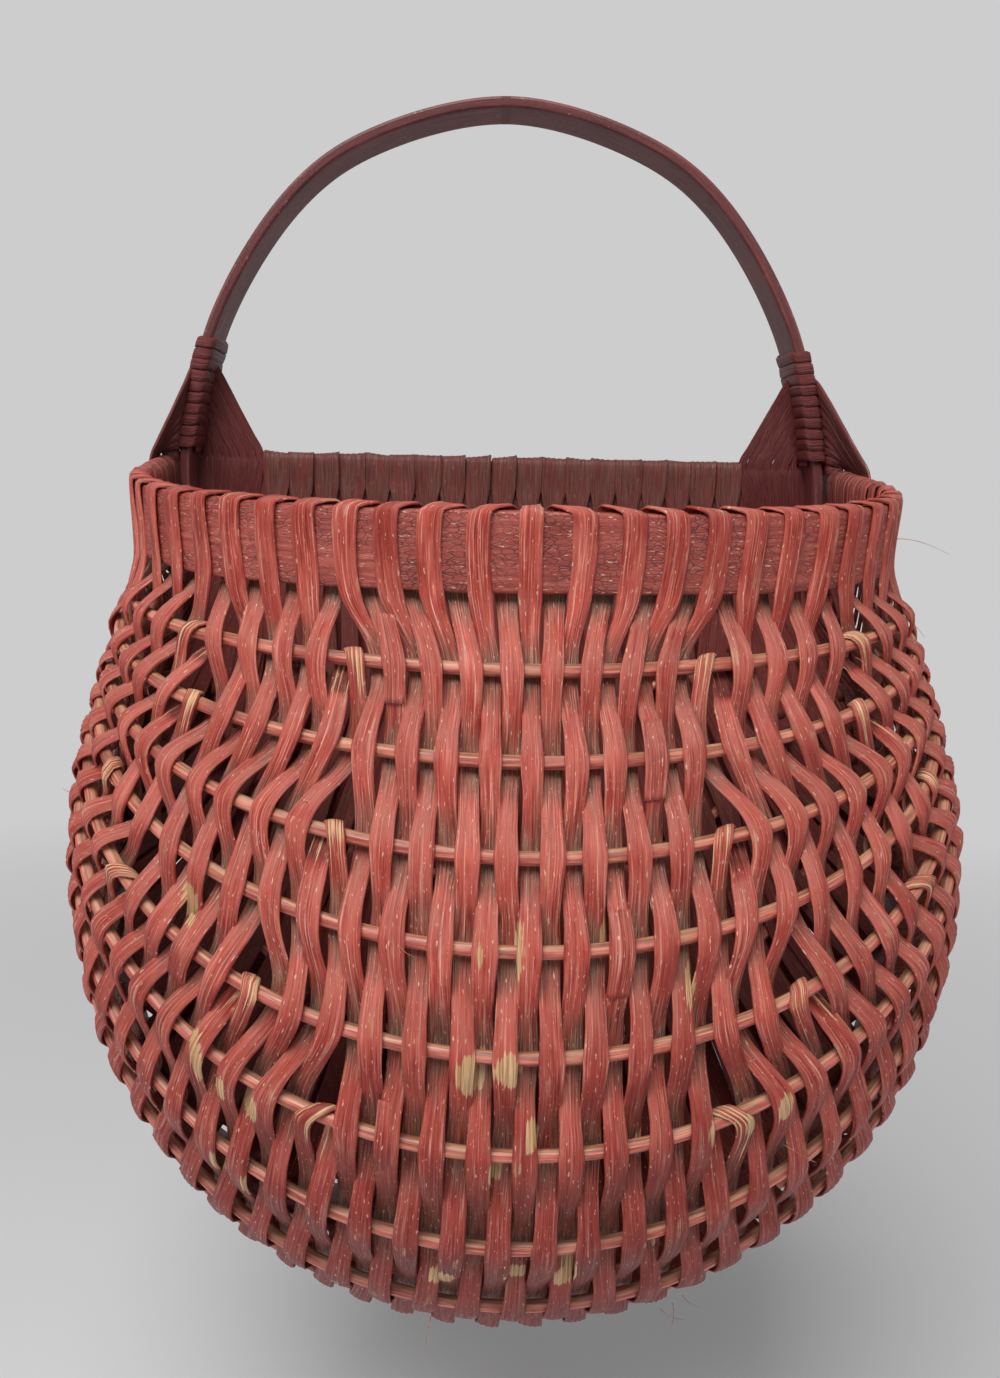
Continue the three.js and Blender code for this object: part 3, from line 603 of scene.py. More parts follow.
def tail(cross):
    """Free end of a row: folded over a band's edge, laid on the hoop, or turned round a rod."""
    line = cross["line"]
    if line.edge is None:
        return rod_turn(cross, cross, False)[1:]
    if line is HOOP:
        return [beside(cross, cross["s"], cross["over"] * BAND_OFFSET, 0)]
    tip = line.half_width + EDGE_TIP
    low = tip - EDGE_CHAMFER
    own = cross["over"]
    if line is BAR and own > 0:
        return [beside(cross, cross["s"], own * BAND_OFFSET, line.half_width - 1)]
    wide = cross["width"] if line is RIM else 2 * PITCHES[BAR_AT] - BAR_GAP
    route = [(own, 0, wide), (own, low, wide), (own * 0.7, tip, wide), (-own * 0.7, tip, wide * 0.8),
             (-own, low, wide * 0.7), (-own, line.half_width - TAIL, wide * 0.45)]
    return [beside(cross, cross["s"], at * BAND_OFFSET, edge, width) for at, edge, width in route]


def turn_stations(outer_row, inner_row, side, weave):
    """One turn of weaving: two neighbouring rows joined over the front rim."""
    outer = crossings(outer_row, side, weave)
    outer_body = row_body(outer)
    start = tail(outer[-1])[::-1] + outer_body[::-1]
    if inner_row is None:
        return start + tail(outer[0])
    inner = crossings(inner_row, side, weave)
    inner_body = row_body(inner)
    leaned = {**outer[0], "s": outer[0]["s"] + side * RIM_LEAN}
    return start + edge_turn(leaned, inner[0]) + inner_body + tail(inner[-1])


def packing_stations(block, side, weave):
    """One serpentine of packing rows, turned on ribs above and on the hoop or back ribs below."""
    own = [row for row in ROWS if row["block"] == block]
    crossed = [crossings(row, side, weave) for row in own]
    bodies = [row_body(c) for c in crossed]
    stations = tail(crossed[0][-1])[::-1]
    for r in range(len(own)):
        upward = r % 2 == 0
        path = bodies[r][::-1] if upward else bodies[r]
        end, start = (crossed[r][0], crossed[r][-1]) if upward else (crossed[r][-1], crossed[r][0])
        if r > 0 and start["line"].edge is None:
            path = path[1:]
        if r == len(own) - 1:
            return stations + path + tail(end)
        if end["line"].edge is None:
            path = path[:-1]
        other = crossed[r + 1][0] if upward else crossed[r + 1][-1]
        turn = edge_turn(end, other) if end["line"].edge is not None else rod_turn(end, other, upward)
        stations += path + turn
    return stations


# Surfaces

def body_faces(rings, closed):
    """Quads between neighbouring rings and, on an open path, a cap on each end, facing outward."""
    n, m = rings.shape[:2]
    a = np.arange(n if closed else n - 1)[:, None]
    k = np.arange(m)[None, :]
    b, beside_k = (a + 1) % n, (k + 1) % m
    quads = np.stack([a * m + k, a * m + beside_k, b * m + beside_k, b * m + k], -1).reshape(-1, 4)
    near, far = rings, np.roll(rings, -1, 1)
    step = np.roll(rings, -1, 0) if closed else np.concatenate([rings[1:], rings[-1:]])
    volume = np.einsum("ijk,ijk->", near, np.cross(far, step))
    if volume < 0:
        quads = quads[:, ::-1]
    loops = [quads.ravel()]
    sizes = [np.full(len(quads), 4)]
    if not closed:
        first, last = np.arange(m), (n - 1) * m + np.arange(m)
        loops += [first[::-1], last] if volume >= 0 else [first, last[::-1]]
        sizes.append(np.array([m, m]))
    return np.concatenate(loops), np.concatenate(sizes)


def lay_mesh(name, bodies, closed=False):
    """A mesh of closed bodies, each a pair of rings and values.

    Rings is an array of stations, points round and coordinates in mm; values maps an attribute's
    name to an array over stations and points, and "uv" to one with two columns in mm.
    """
    base, loops, sizes = 0, [], []
    for rings, _ in bodies:
        loop, size = body_faces(rings, closed)
        loops.append(loop + base)
        sizes.append(size)
        base += rings.shape[0] * rings.shape[1]
    loop, size = np.concatenate(loops).astype(np.int32), np.concatenate(sizes)
    mesh = bpy.data.meshes.new(name)
    mesh.vertices.add(base)
    points = np.concatenate([rings.reshape(-1, 3) for rings, _ in bodies])
    mesh.vertices.foreach_set("co", (points * MM).astype(np.float32).ravel())
    mesh.loops.add(len(loop))
    mesh.loops.foreach_set("vertex_index", loop)
    mesh.polygons.add(len(size))
    mesh.polygons.foreach_set("loop_start", (np.cumsum(size) - size).astype(np.int32))
    mesh.polygons.foreach_set("use_smooth", np.ones(len(size), bool))
    for key in bodies[0][1]:
        wide = (2,) if key == "uv" else ()
        flat = np.concatenate([np.broadcast_to(values[key], rings.shape[:2] + wide).reshape(-1, *wide)
                               for rings, values in bodies]).astype(np.float32)
        if key == "uv":
            mesh.uv_layers.new(name="UVMap").data.foreach_set("uv", (flat * MM)[loop].ravel())
        else:
            mesh.attributes.new(key, "FLOAT", "POINT").data.foreach_set("value", flat)
    mesh.update(calc_edges=True)
    mesh.validate()
    return mesh


def place(name, mesh, material, nodes, slot):
    """Puts a mesh into the scene as a piece that rides on the body and stands for CAD nodes."""
    mesh.materials.append(material)
    obj = bpy.data.objects.new(name, mesh)
    bpy.context.scene.collection.objects.link(obj)
    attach(obj, "root")
    if nodes:
        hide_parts(*nodes)
    return obj


def strip_section():
    """Outline of a splint as (across from -1/2 to 1/2, face +1 or -1, ridge weight), once round."""
    top = np.linspace(-0.47, 0.47, CROWN_POINTS)
    low = np.linspace(0.42, -0.42, 4)
    across = np.concatenate([top, [0.5], low, [-0.5]])
    face = np.concatenate([np.ones(CROWN_POINTS), [0], -np.ones(4), [0]])
    ridge = np.concatenate([np.cos(np.arange(CROWN_POINTS) * np.pi), [0], np.zeros(4), [0]])
    return across, face, ridge


def worn(points):
    """How bare each point is: 1 inside one of the listed ovals, worn places and three painted highlights,
    falling to 0 at 1.5 times its size.
    """
    value = np.zeros(points.shape[:-1])
    for x, z, wide, high in WORN_AND_HIGHLIGHT_PLACES:
        away = np.hypot((points[..., 0] - x) / wide, (points[..., 2] - z) / high)
        value = np.maximum(value, np.clip(3 - 2 * away, 0, 1) * (points[..., 1] < -20))
    return value


def splint_body(stations, seed, step, cup, thick=SPLINT_THICK, waver=0.45, tilt=0.0, spread=0.0):
    """A splint carried along its stations.

    The centre line is the smooth curve through the stations. At each sample the outline lies
    across the member's direction: height = side * -cup * (2x/w)^2 + half thickness + ridges,
    where side turns the hollow inward on whichever face looks out of the basket. Width, place
    and lean waver slowly with the length. Where the splint goes over or under, it is wider by up
    to spread and leans by up to tilt degrees.
    """
    p = np.array([s["p"] for s in stations])
    chords = np.linalg.norm(np.diff(p, axis=0), axis=1)
    counts = np.maximum(1, np.round(chords / step)).astype(int)
    centre = through(p, counts)
    # what isn't a place is mixed evenly, so that it can't overshoot
    knots = np.concatenate([[0], np.cumsum(counts)])
    at = np.arange(len(centre))
    table = np.array([[*s["across"], *s["out"], s["width"], s["over"], s["bare"]] for s in stations])
    mixed = np.column_stack([np.interp(at, knots, column) for column in table.T])
    side, out = unit(mixed[:, 0:3]), unit(mixed[:, 3:6])
    width, over, bare = mixed[:, 6:].T
    ahead = unit(np.gradient(centre, axis=0))
    up = unit(np.cross(ahead, side))
    length = np.concatenate([[0], np.cumsum(np.linalg.norm(np.diff(centre, axis=0), axis=1))])
    facing = np.clip(np.einsum("ij,ij->i", up, out) * 1.6, -1, 1)
    rng = np.random.default_rng(seed)
    width = width * (rng.uniform(0.95, 1.02) + drift(length, seed + 1, 14, 0.05))
    width = width + spread * np.clip(np.abs(over) - 0.35, 0, 1)
    centre = centre + side * drift(length, seed + 2, 22, waver)[:, None]
    lean = np.radians(drift(length, seed + 3, 16, 9) + tilt * over * facing)
    across, face, ridge = strip_section()
    x = across[None, :] * width[:, None]
    ridges = ridge[None, :] * RIDGE * (1 + drift(length, seed + 4, 9, 0.8)[:, None])
    z = (-facing[:, None] * cup * (2 * across[None, :]) ** 2 * (width[:, None] / SPLINT_WIDTH)
         + face[None, :] * thick / 2 + ridges)
    cos, sin = np.cos(lean)[:, None], np.sin(lean)[:, None]
    x, z = x * cos - z * sin, x * sin + z * cos
    rings = centre[:, None, :] + x[..., None] * side[:, None, :] + z[..., None] * up[:, None, :]
    outward = up * facing[:, None]
    # painted shade inside the basket's back: deep rises from the front toward the wall and fades out near
    # the foot
    deep = (np.clip((centre[:, 1] - INSIDE_SHADE_FROM_Y) / (INSIDE_SHADE_TO_Y - INSIDE_SHADE_FROM_Y), 0, 1)
            * np.clip((centre[:, 2] - INSIDE_SHADE_FOOT_Z) / INSIDE_SHADE_FADE, 0, 1))
    offset = 40 * (seed % 97)
    uv = np.stack([np.broadcast_to(length[:, None] + offset, x.shape),
                   np.broadcast_to(across[None, :] * SPLINT_WIDTH + offset * 0.37, x.shape)], -1)
    values = {
        "uv": uv,
        "over": over[:, None],
        # the next value marks what looks up, for dust and for painted light from above; shade marks what
        # looks down, for painted shade
        "dust_and_top_light": np.clip(outward[:, 2] * 1.3 + 0.25, 0, 1)[:, None],
        "shade": np.clip(-outward[:, 2] * 1.6 - 0.05, 0, 1)[:, None],
        "tone": np.full((len(length), 1), rng.uniform(0, 1)),
        # rim marks the splint's edges, which are paler partly from worn paint and partly as painted
        # highlight
        "rim": np.abs(2 * across)[None, :] ** 3,
        "deep": deep[:, None],
        "bare": np.maximum(worn(rings), bare[:, None]),
    }
    return rings, values


def rod_mesh(name, line, seed):
    """A round rod: a circle of slowly wavering radius carried along the member's line.

    Over the last ROD_TAPER mm the radius falls to less than half, because the ends are whittled.
    """
    count, sides = int(2 * line.stop / ROD_STEP), ROD_SIDES
    s = np.linspace(-line.stop, line.stop, count)
    centre = line.at(s)
    ahead = unit(np.gradient(centre, axis=0))
    outward = unit(centre - BODY_CENTRE)
    a = unit(outward - np.einsum("ij,ij->i", outward, ahead)[:, None] * ahead)
    b = np.cross(ahead, a)
    angle = np.linspace(0, 2 * np.pi, sides, endpoint=False)
    radius = ROD_RADIUS * (0.97 + drift(s, seed, 19, 0.05))
    ends = np.clip((line.stop - np.abs(s)) / ROD_TAPER, 0, 1)
    radius = radius * (0.45 + 0.55 * ends)
    rings = (centre[:, None, :] + radius[:, None, None]
             * (np.cos(angle)[None, :, None] * a[:, None, :] + np.sin(angle)[None, :, None] * b[:, None, :]))
    uv = np.stack([np.broadcast_to(s[:, None] + seed * 31.0, (count, sides)),
                   np.broadcast_to(np.abs(angle - np.pi)[None, :] * ROD_RADIUS, (count, sides))], -1)
    up = (rings - centre[:, None, :])[..., 2] / radius[:, None]
    return lay_mesh(name, [(rings, {"uv": uv, "tone": np.full((count, sides), 0.5),
                                    "dust_and_top_light": np.clip(up * 2 - 0.7, 0, 1)})])


def band_section(width):
    """Outline of a flat band with rounded edges, as (along the edge direction, off the face)."""
    half, deep, bevel = width / 2, BAND_THICK / 2, BAND_BEVEL
    flat = np.linspace(-half + bevel, half - bevel, 8)
    turn = np.linspace(0, np.pi / 2, 4)[1:-1]
    corner = np.column_stack([half - bevel + bevel * np.sin(turn), deep - bevel + bevel * np.cos(turn)])
    side = np.array([[half, deep - bevel], [half, bevel - deep]])
    right = np.vstack([corner, side, corner[::-1] * [1, -1]])
    top = np.column_stack([flat, np.full_like(flat, deep)])
    return np.vstack([top, right, -top, -right])


def band_mesh(name, centre, edge, section, seed, closed=False, uneven=0.25):
    """A bent band: the outline carried along the centre line, square to it, a little uneven."""
    if closed:
        ahead = unit(np.roll(centre, -1, 0) - np.roll(centre, 1, 0))
    else:
        ahead = unit(np.gradient(centre, axis=0))
    edge = np.broadcast_to(edge, centre.shape)
    normal = unit(np.cross(ahead, edge))
    steps = np.linalg.norm(np.diff(centre, axis=0), axis=1)
    length = np.concatenate([[0], np.cumsum(steps)])
    turns = 2 * np.pi * length / (length[-1] + (steps[0] if closed else 0))
    wave = np.sin(turns * 5 + seed) + 0.6 * np.sin(turns * 11 + 2.1 * seed)
    wide = 1 - (np.abs(section[:, 0]) / np.abs(section[:, 0]).max())[None, :] * 0.012 * (1 + wave[:, None])
    x = section[:, 0][None, :] * wide
    z = section[:, 1][None, :] * (1 - uneven * 0.2 * (1 + np.sin(turns * 7 + seed))[:, None] / 2)
    rings = centre[:, None, :] + x[..., None] * edge[:, None, :] + z[..., None] * normal[:, None, :]
    uv = np.stack([np.broadcast_to(length[:, None], x.shape),
                   np.broadcast_to((section[:, 0] + 60 * (section[:, 1] > 0))[None, :], x.shape)], -1)
    return lay_mesh(name, [(rings, {"uv": uv, "tone": np.full(x.shape, 0.5)})], closed=closed)


# Finishes

# Colours that wear and dirt bring, and the painted highlight and painted shade
# painted highlight on the palest grain streaks
PAINTED_HIGHLIGHT = 0xf2bcab
# painted shade on what looks most down
UNDERSIDE_SHADE = 0x4e2a22
SOIL_DARK, SOIL_PALE = 0x5a4436, 0xa08874
FLAKE = 0xe6c0a8
SCUFF = 0xc79a78
WOOD_DARK, WOOD_PALE = 0xb58858, 0xe9c69a
TAN_DARK, TAN_PALE = 0x84583f, 0xb98e6e
CRACK = 0x5a2825
FLECK = 0xd8ac92


def linear(code):
    """A colour written as a hex number, as linear red, green and blue."""
    c = np.array([(code >> 16) & 255, (code >> 8) & 255, code & 255]) / 255
    return tuple(np.where(c <= 0.04045, c / 12.92, ((c + 0.055) / 1.055) ** 2.4).tolist())


def rgba(colour):
    """A hex number or three linear values as a socket's four values."""
    return (*(linear(colour) if isinstance(colour, int) else colour), 1.0)


class Nodes:
    """Short way to add and join nodes in one tree."""

    def __init__(self, tree):
        self.tree = tree
        tree.nodes.clear()

    def join(self, source, target):
        """Links an output socket to an input socket."""
        self.tree.links.new(source, target)

    def node(self, kind, inputs=None, **settings):
        """A new node with its settings, and its inputs joined to sockets or set to values."""
        node = self.tree.nodes.new(kind)
        for key, value in settings.items():
            setattr(node, key, value)
        for key, value in (inputs or {}).items():
            if isinstance(value, bpy.types.NodeSocket):
                self.join(value, node.inputs[key])
            else:
                node.inputs[key].default_value = value
        return node

    def mapped(self, scale):
        """The piece's own lengthwise map, stretched."""
        uv = self.node("ShaderNodeUVMap", uv_map="UVMap")
        return self.node("ShaderNodeMapping", {0: uv.outputs[0], 3: scale}).outputs[0]

    def noise(self, scale, detail=4, rough=0.6):
        """Noise on the piece's own map, with scale cells to a metre along it and across it."""
        inputs = {"Vector": self.mapped((*scale, 1)), "Scale": 1.0, "Detail": detail, "Roughness": rough}
        return self.node("ShaderNodeTexNoise", inputs).outputs[0]

    def attribute(self, name):
        """A number stored on the mesh's points."""
        return self.node("ShaderNodeAttribute", attribute_name=name).outputs["Fac"]

    def ramp(self, factor, stops):
        """Colour along stops of (place, colour)."""
        node = self.node("ShaderNodeValToRGB", {0: factor})
        elements = node.color_ramp.elements
        while len(elements) < len(stops):
            elements.new(0.5)
        for element, (at, code) in zip(elements, stops):
            element.position = at
            element.color = rgba(code)
        return node.outputs[0]

    def range(self, value, low, high, to_low=0.0, to_high=1.0):
        """Value from low to high as a number from to_low to to_high, held at the ends."""
        node = self.node("ShaderNodeMapRange", {0: value, 1: low, 2: high, 3: to_low, 4: to_high})
        return node.outputs[0]

    def mix(self, factor, first, second):
        """The first colour, going to the second one as the factor goes to 1."""
        if not isinstance(second, bpy.types.NodeSocket):
            second = rgba(second)
        return self.node("ShaderNodeMix", {0: factor, 6: first, 7: second}, data_type="RGBA").outputs[2]

    def math(self, operation, first, second):
        """Sum, product or the like of two numbers."""
        return self.node("ShaderNodeMath", {0: first, 1: second}, operation=operation).outputs[0]

    def bump(self, height, distance, strength):
        """Surface direction as if raised by height times distance, in metres."""
        inputs = {"Height": height, "Distance": distance, "Strength": strength}
        return self.node("ShaderNodeBump", inputs).outputs[0]

    def object_place(self):
        """Place of the point in the object's own coordinates."""
        return self.node("ShaderNodeTexCoord").outputs["Object"]


class Paint(Nodes):
    """Nodes of a new material, with its surface shader joined to its output."""

    def __init__(self, name):
        self.material = bpy.data.materials.new(name)
        self.material.use_nodes = True
        super().__init__(self.material.node_tree)
        self.shader = self.node("ShaderNodeBsdfPrincipled")
        self.output = self.node("ShaderNodeOutputMaterial").inputs[0]
        self.join(self.shader.outputs[0], self.output)


def splint_finish(name, paint, deep, pale, dust_and_top_light, inside, wear=1.0):
    """Faded paint on split wood: lengthwise streaks, the palest a painted highlight on the crests,
    edges paler partly from wear and partly as painted highlight, dust with painted light from above
    on what looks up, and painted shade on what looks down, towards the bottom and inside the back.

    The attributes say how far a point is from plain paint: over, -1 where the splint lies
    behind a rib; deep, 1 inside the basket's back, where shade is painted; bare, 1 where the
    paint is worn through, and at three painted highlights.
    """
    n = Paint(name)
    streak = n.noise((26, 1250))
    fine = n.noise((90, 2600), 2, 0.5)
    blotch = n.noise((38, 110))
    patch = n.noise((70, 260), 3)
    grain = n.math("ADD", n.math("MULTIPLY", streak, 0.62), n.math("MULTIPLY", fine, 0.38))
    # faded paint in streaks, the palest of them a painted highlight, one splint a little deeper than the
    # next
    body = n.ramp(grain, [(0.4, deep), (0.465, paint), (0.52, paint), (0.57, pale), (0.63, PAINTED_HIGHLIGHT)])
    body = n.mix(n.range(n.attribute("tone"), 0, 1, 0.0, 0.45), body, deep)
    body = n.mix(n.range(blotch, 0.5, 0.3, 0, 0.6 * wear), body, deep)
    body = n.mix(n.range(blotch, 0.48, 0.7, 0, 0.5 * wear), body, pale)
    # edges paler in patches, partly worn paint and partly painted highlight
    edge = n.math("MULTIPLY", n.attribute("rim"), n.range(patch, 0.42, 0.62, 0.0, 0.6 * wear))
    body = n.mix(edge, body, pale)
    # dust and painted light from above on what looks up, painted shade on what looks down, soil behind the
    # ribs
    dust_and_top_lit = n.math("MULTIPLY", n.attribute("dust_and_top_light"), n.range(patch, 0.35, 0.62, 0.15, 0.8))
    body = n.mix(dust_and_top_lit, body, dust_and_top_light)
    # painted shade: what looks down goes to the deep colour, the most downward to a dark brown
    below = n.math("MULTIPLY", n.attribute("shade"), n.range(blotch, 0.3, 0.6, 0.9, 0.5))
    body = n.mix(below, body, deep)
    body = n.mix(n.range(n.attribute("shade"), 0.6, 1, 0, 0.6 * wear), body, UNDERSIDE_SHADE)
    behind = n.range(n.attribute("over"), -0.9, 0.1, 1.0, 0.0)
    grimy = n.math("MULTIPLY", behind, n.range(patch, 0.36, 0.58, 0.25, 0.95))
    soil = n.ramp(fine, [(0.4, SOIL_DARK), (0.6, SOIL_PALE)])
    body = n.mix(n.math("MULTIPLY", grimy, wear), body, soil)
    # painted shade: deeper towards the bottom of the basket
    height = n.node("ShaderNodeSeparateXYZ", {0: n.object_place()}).outputs[2]
    body = n.mix(n.range(height, LOW_SHADE_FROM_Z, LOW_SHADE_TO_Z, 0, 0.75), body, deep)
    # flaked, scuffed and worn through to the wood, with three painted highlights laid in as bare wood
    flake = n.noise((380, 1400), 2, 0.5)
    body = n.mix(n.range(flake, 0.66, 0.7, 0, 0.8 * wear), body, FLAKE)
    scuffs = n.math("MULTIPLY", n.range(patch, 0.62, 0.68, 0, 0.8 * wear), n.range(grain, 0.42, 0.56))
    body = n.mix(n.math("MULTIPLY", scuffs, n.range(n.attribute("over"), 0.2, 0.9)), body, SCUFF)
    wood = n.ramp(grain, [(0.42, WOOD_DARK), (0.6, WOOD_PALE)])
    bare = n.math("ADD", n.attribute("bare"), n.range(streak, 0.35, 0.65, -0.4, 0.4))
    body = n.mix(n.range(bare, 0.5, 0.62, 0, 0.92 * wear), body, wood)
    # painted shade inside the basket's back
    body = n.mix(n.math("MULTIPLY", n.attribute("deep"), 0.8), body, inside)
    n.join(body, n.shader.inputs["Base Color"])
    n.join(n.range(grain, 0.4, 0.62, 0.6, 0.34), n.shader.inputs["Roughness"])
    n.shader.inputs["Specular IOR Level"].default_value = 0.25
    n.join(n.bump(grain, 0.0012, 1.0), n.shader.inputs["Normal"])


def rod_finish(name, paint, deep, pale, tan):
    """Round rods: salmon paint worn to tan along the top, with fine lengthwise grain."""
    n = Paint(name)
    streak = n.noise((50, 900))
    blotch = n.noise((60, 60), 3)
    body = n.ramp(streak, [(0.38, deep), (0.5, paint), (0.62, pale)])
    body = n.mix(n.range(blotch, 0.5, 0.7, 0, 0.5), body, tan)
    dust_and_top_lit = n.math("MULTIPLY", n.attribute("dust_and_top_light"), n.range(blotch, 0.3, 0.6, 0.55, 0.9))
    body = n.mix(dust_and_top_lit, body, n.ramp(streak, [(0.4, TAN_DARK), (0.6, TAN_PALE)]))
    n.join(body, n.shader.inputs["Base Color"])
    n.shader.inputs["Roughness"].default_value = 0.4
    n.join(n.bump(streak, 0.0004, 0.6), n.shader.inputs["Normal"])


def band_finish(name, paint, deep, pale, crackle):
    """Painted bent wood: long grain, with the paint crazed into small flakes where it is thick."""
    n = Paint(name)
    streak = n.noise((30, 700), 5)
    blotch = n.noise((40, 60))
    body = n.ramp(streak, [(0.3, deep), (0.5, paint), (0.75, pale)])
    body = n.mix(n.range(blotch, 0.4, 0.7, 0, 0.45), body, deep)
    cells = n.node("ShaderNodeTexVoronoi", {"Vector": n.mapped((330, 800, 1)), "Scale": 1.0},
                   feature="DISTANCE_TO_EDGE").outputs[0]
    lines = n.range(cells, 0.0, 0.09, 1.0, 0.0)
    crazed = n.math("MULTIPLY", lines, n.range(blotch, 0.35, 0.6, 0.2 * crackle, crackle))
    body = n.mix(crazed, body, CRACK)
    fleck = n.noise((420, 1300), 2, 0.5)
    body = n.mix(n.range(fleck, 0.64, 0.69, 0, 0.75 * crackle), body, FLECK)
    n.join(body, n.shader.inputs["Base Color"])
    n.shader.inputs["Roughness"].default_value = 0.5
    height = n.math("SUBTRACT", n.math("MULTIPLY", streak, 0.6), n.math("MULTIPLY", crazed, 0.5))
    n.join(n.bump(height, 0.0005, 0.8), n.shader.inputs["Normal"])


# Settings

class BasketWeave(bpy.types.PropertyGroup):
    swing: bpy.props.FloatProperty(
        name="Swing", description="How far splints bow sideways between ribs near the ears, in mm",
        default=1.45, min=0, max=3)
    stray: bpy.props.FloatProperty(
        name="Stray", description="How far a crossing strays from its even place, in mm",
        default=0.55, min=0, max=1)
    snug: bpy.props.FloatProperty(
        name="Snug", description="How far splints at the wall reach over their neighbours, in mm",
        default=2.4, min=0, max=4)
    looseness: bpy.props.FloatProperty(
        name="Looseness", description="Gap between neighbouring splints on a rib, in mm; below 0 they lap",
        default=-0.25, min=-0.5, max=3)
    cup: bpy.props.FloatProperty(
        name="Cup", description="How much a splint's edges curl, in mm", default=0.5, min=0, max=1.5)
    detail: bpy.props.FloatProperty(
        name="Step", description="Length of one station along a splint, in mm", default=2.4, min=1, max=8)


class BasketStage(bpy.types.PropertyGroup):
    backdrop: bpy.props.FloatVectorProperty(
        name="Backdrop", description="Colour behind and under the basket", subtype="COLOR", size=3,
        default=(0.61, 0.61, 0.615), min=0, max=1)
    key: bpy.props.FloatProperty(
        name="Key lamp", description="Power of the main lamp", unit="POWER", default=27.0, min=0)
    fill: bpy.props.FloatProperty(
        name="Fill lamp", description="Power of the two side lamps", unit="POWER", default=2.2, min=0)


def colour_setting(name, description, default):
    """A colour that the user can change, with its default in linear values."""
    return bpy.props.FloatVectorProperty(name=name, description=description, subtype="COLOR", size=3,
                                         default=default, min=0, max=1)


class BasketPaint(bpy.types.PropertyGroup):
    splint: colour_setting("Splint paint", "Paint of the splints", linear(0xb8473b))
    # Splint low also serves as painted shade, on what looks down and towards the bottom
    splint_deep: colour_setting("Splint low", "Paint in the splints' grain and low places", linear(0x80261f))
    splint_pale: colour_setting("Splint high", "Faded paint on the splints' crests", linear(0xdf7c6c))
    # Inside is the painted shade that the splints inside the basket's back go toward
    inside: colour_setting("Inside", "Splints inside the basket's back", linear(0x5e2b2a))
    ear: colour_setting("Ear paint", "Paint of the lashings and gussets", linear(0x7d3230))
    rib: colour_setting("Rib paint", "Paint of the round ribs", linear(0xbc5b4c))
    hoop: colour_setting("Hoop paint", "Paint of the hoop, handle and bar", linear(0x6b2e2e))
    rim: colour_setting("Rim paint", "Paint of the rim", linear(0xa0463b))


# Pieces

def finishes():
    """The basket's finishes by name, made once: paint, deep and pale first, then the colour of dust with
    painted light from above, and the painted shade inside the basket's back.
    """
    if "splint red" not in bpy.data.materials:
        paint = bpy.context.scene.basket_paint
        splint_finish("splint red", paint.splint, paint.splint_deep, paint.splint_pale, 0xb4685a,
                      paint.inside)
        splint_finish("ear splint", paint.ear, 0x561f20, 0x9d554d, 0x7c4a40, 0x6a3130, wear=0.3)
        rod_finish("rib salmon", paint.rib, 0x8a3d33, 0xdc8a76, 0xb5805f)
        band_finish("hoop maroon", paint.hoop, 0x461d20, 0x8f4a46, 0.3)
        band_finish("rim crackle", paint.rim, 0x7e332b, 0xc26c5e, 1.0)
    return bpy.data.materials


def woven(name, stations, seed, weave):
    """Mesh of one splint of the weave, wider and tilted where it goes over or under."""
    return lay_mesh(name, [splint_body(stations, seed, weave.detail, weave.cup, tilt=TILT, spread=SPREAD)])


class BASKET_OT_bands(bpy.types.Operator):
    """Hoop with its handle, D-shaped rim and back bar"""
    bl_idname = "basket.bands"
    bl_label = "Bands"

    def execute(self, context):
        made = finishes()
        outline = hoop_outline(HOOP_STATIONS)
        outline[:, 0] += sway(outline[:, 1], outline[:, 2])
        stock = band_section(BAND_WIDTH)
        mesh = band_mesh("handle_hoop", outline, (0, 1, 0), stock, 1, closed=True, uneven=0.0)
        place("hoop", mesh, made["hoop maroon"], ["handle_hoop"], "handle_wood")
        line = RIM.at(np.linspace(-RIM.half, RIM.half, RIM_STATIONS))
        mesh = band_mesh("front_rim", line, RIM_UP, stock, 2)
        place("rim", mesh, made["rim crackle"], ["front_rim"], "rim_wood")
        line = BAR.at(np.linspace(-BAR.half, BAR.half, BAR_STATIONS))
        line[[0, -1], 0] += [-BAR_END_REACH, BAR_END_REACH]
        mesh = band_mesh("back_bar", line, (0, 0, 1), band_section(BAR_HEIGHT), 3)
        place("bar", mesh, made["hoop maroon"], ["back_bar"], "handle_wood")
        return {"FINISHED"}


class BASKET_OT_ribs(bpy.types.Operator):
    """Round ribs that run from ear to ear in front and at the wall"""
    bl_idname = "basket.ribs"
    bl_label = "Ribs"

    def execute(self, context):
        made = finishes()
        for lines, node, label in ((FRONT, "front_rib", "rib"), (BACK, "back_rib", "wall_rib")):
            for i, line in enumerate(lines):
                mesh = rod_mesh(f"{node}_{i + 1}", line, SEED[node] + i)
                place(f"{label}_{i + 1}", mesh, made["rib salmon"], [f"{node}_{i + 1}"], "rib_wood")
        return {"FINISHED"}


class BASKET_OT_weave(bpy.types.Operator):
    """Full turns of splint from the back bar round the rim, from the left ear to the right"""
    bl_idname = "basket.weave"
    bl_label = "Weavers"

    def execute(self, context):
        made = finishes()
        weave = context.scene.basket_weave
        full = {row["full"]: row for row in ROWS if row["full"] is not None}
        for m in range(-HALF_ROWS, HALF_ROWS + 1, 2):
            outer, inner = full[abs(m)], (full[abs(m) - 1] if m else None)
            stations = turn_stations(outer, inner, -1 if m < 0 else 1, weave)
            name = f"weaver_{(m + HALF_ROWS) // 2 + 1:02d}"
            mesh = woven(name, stations, SEED["turn"] + m * 7, weave)
            place(f"turn_{name[-2:]}", mesh, made["splint red"], [name], "splint")
        return {"FINISHED"}


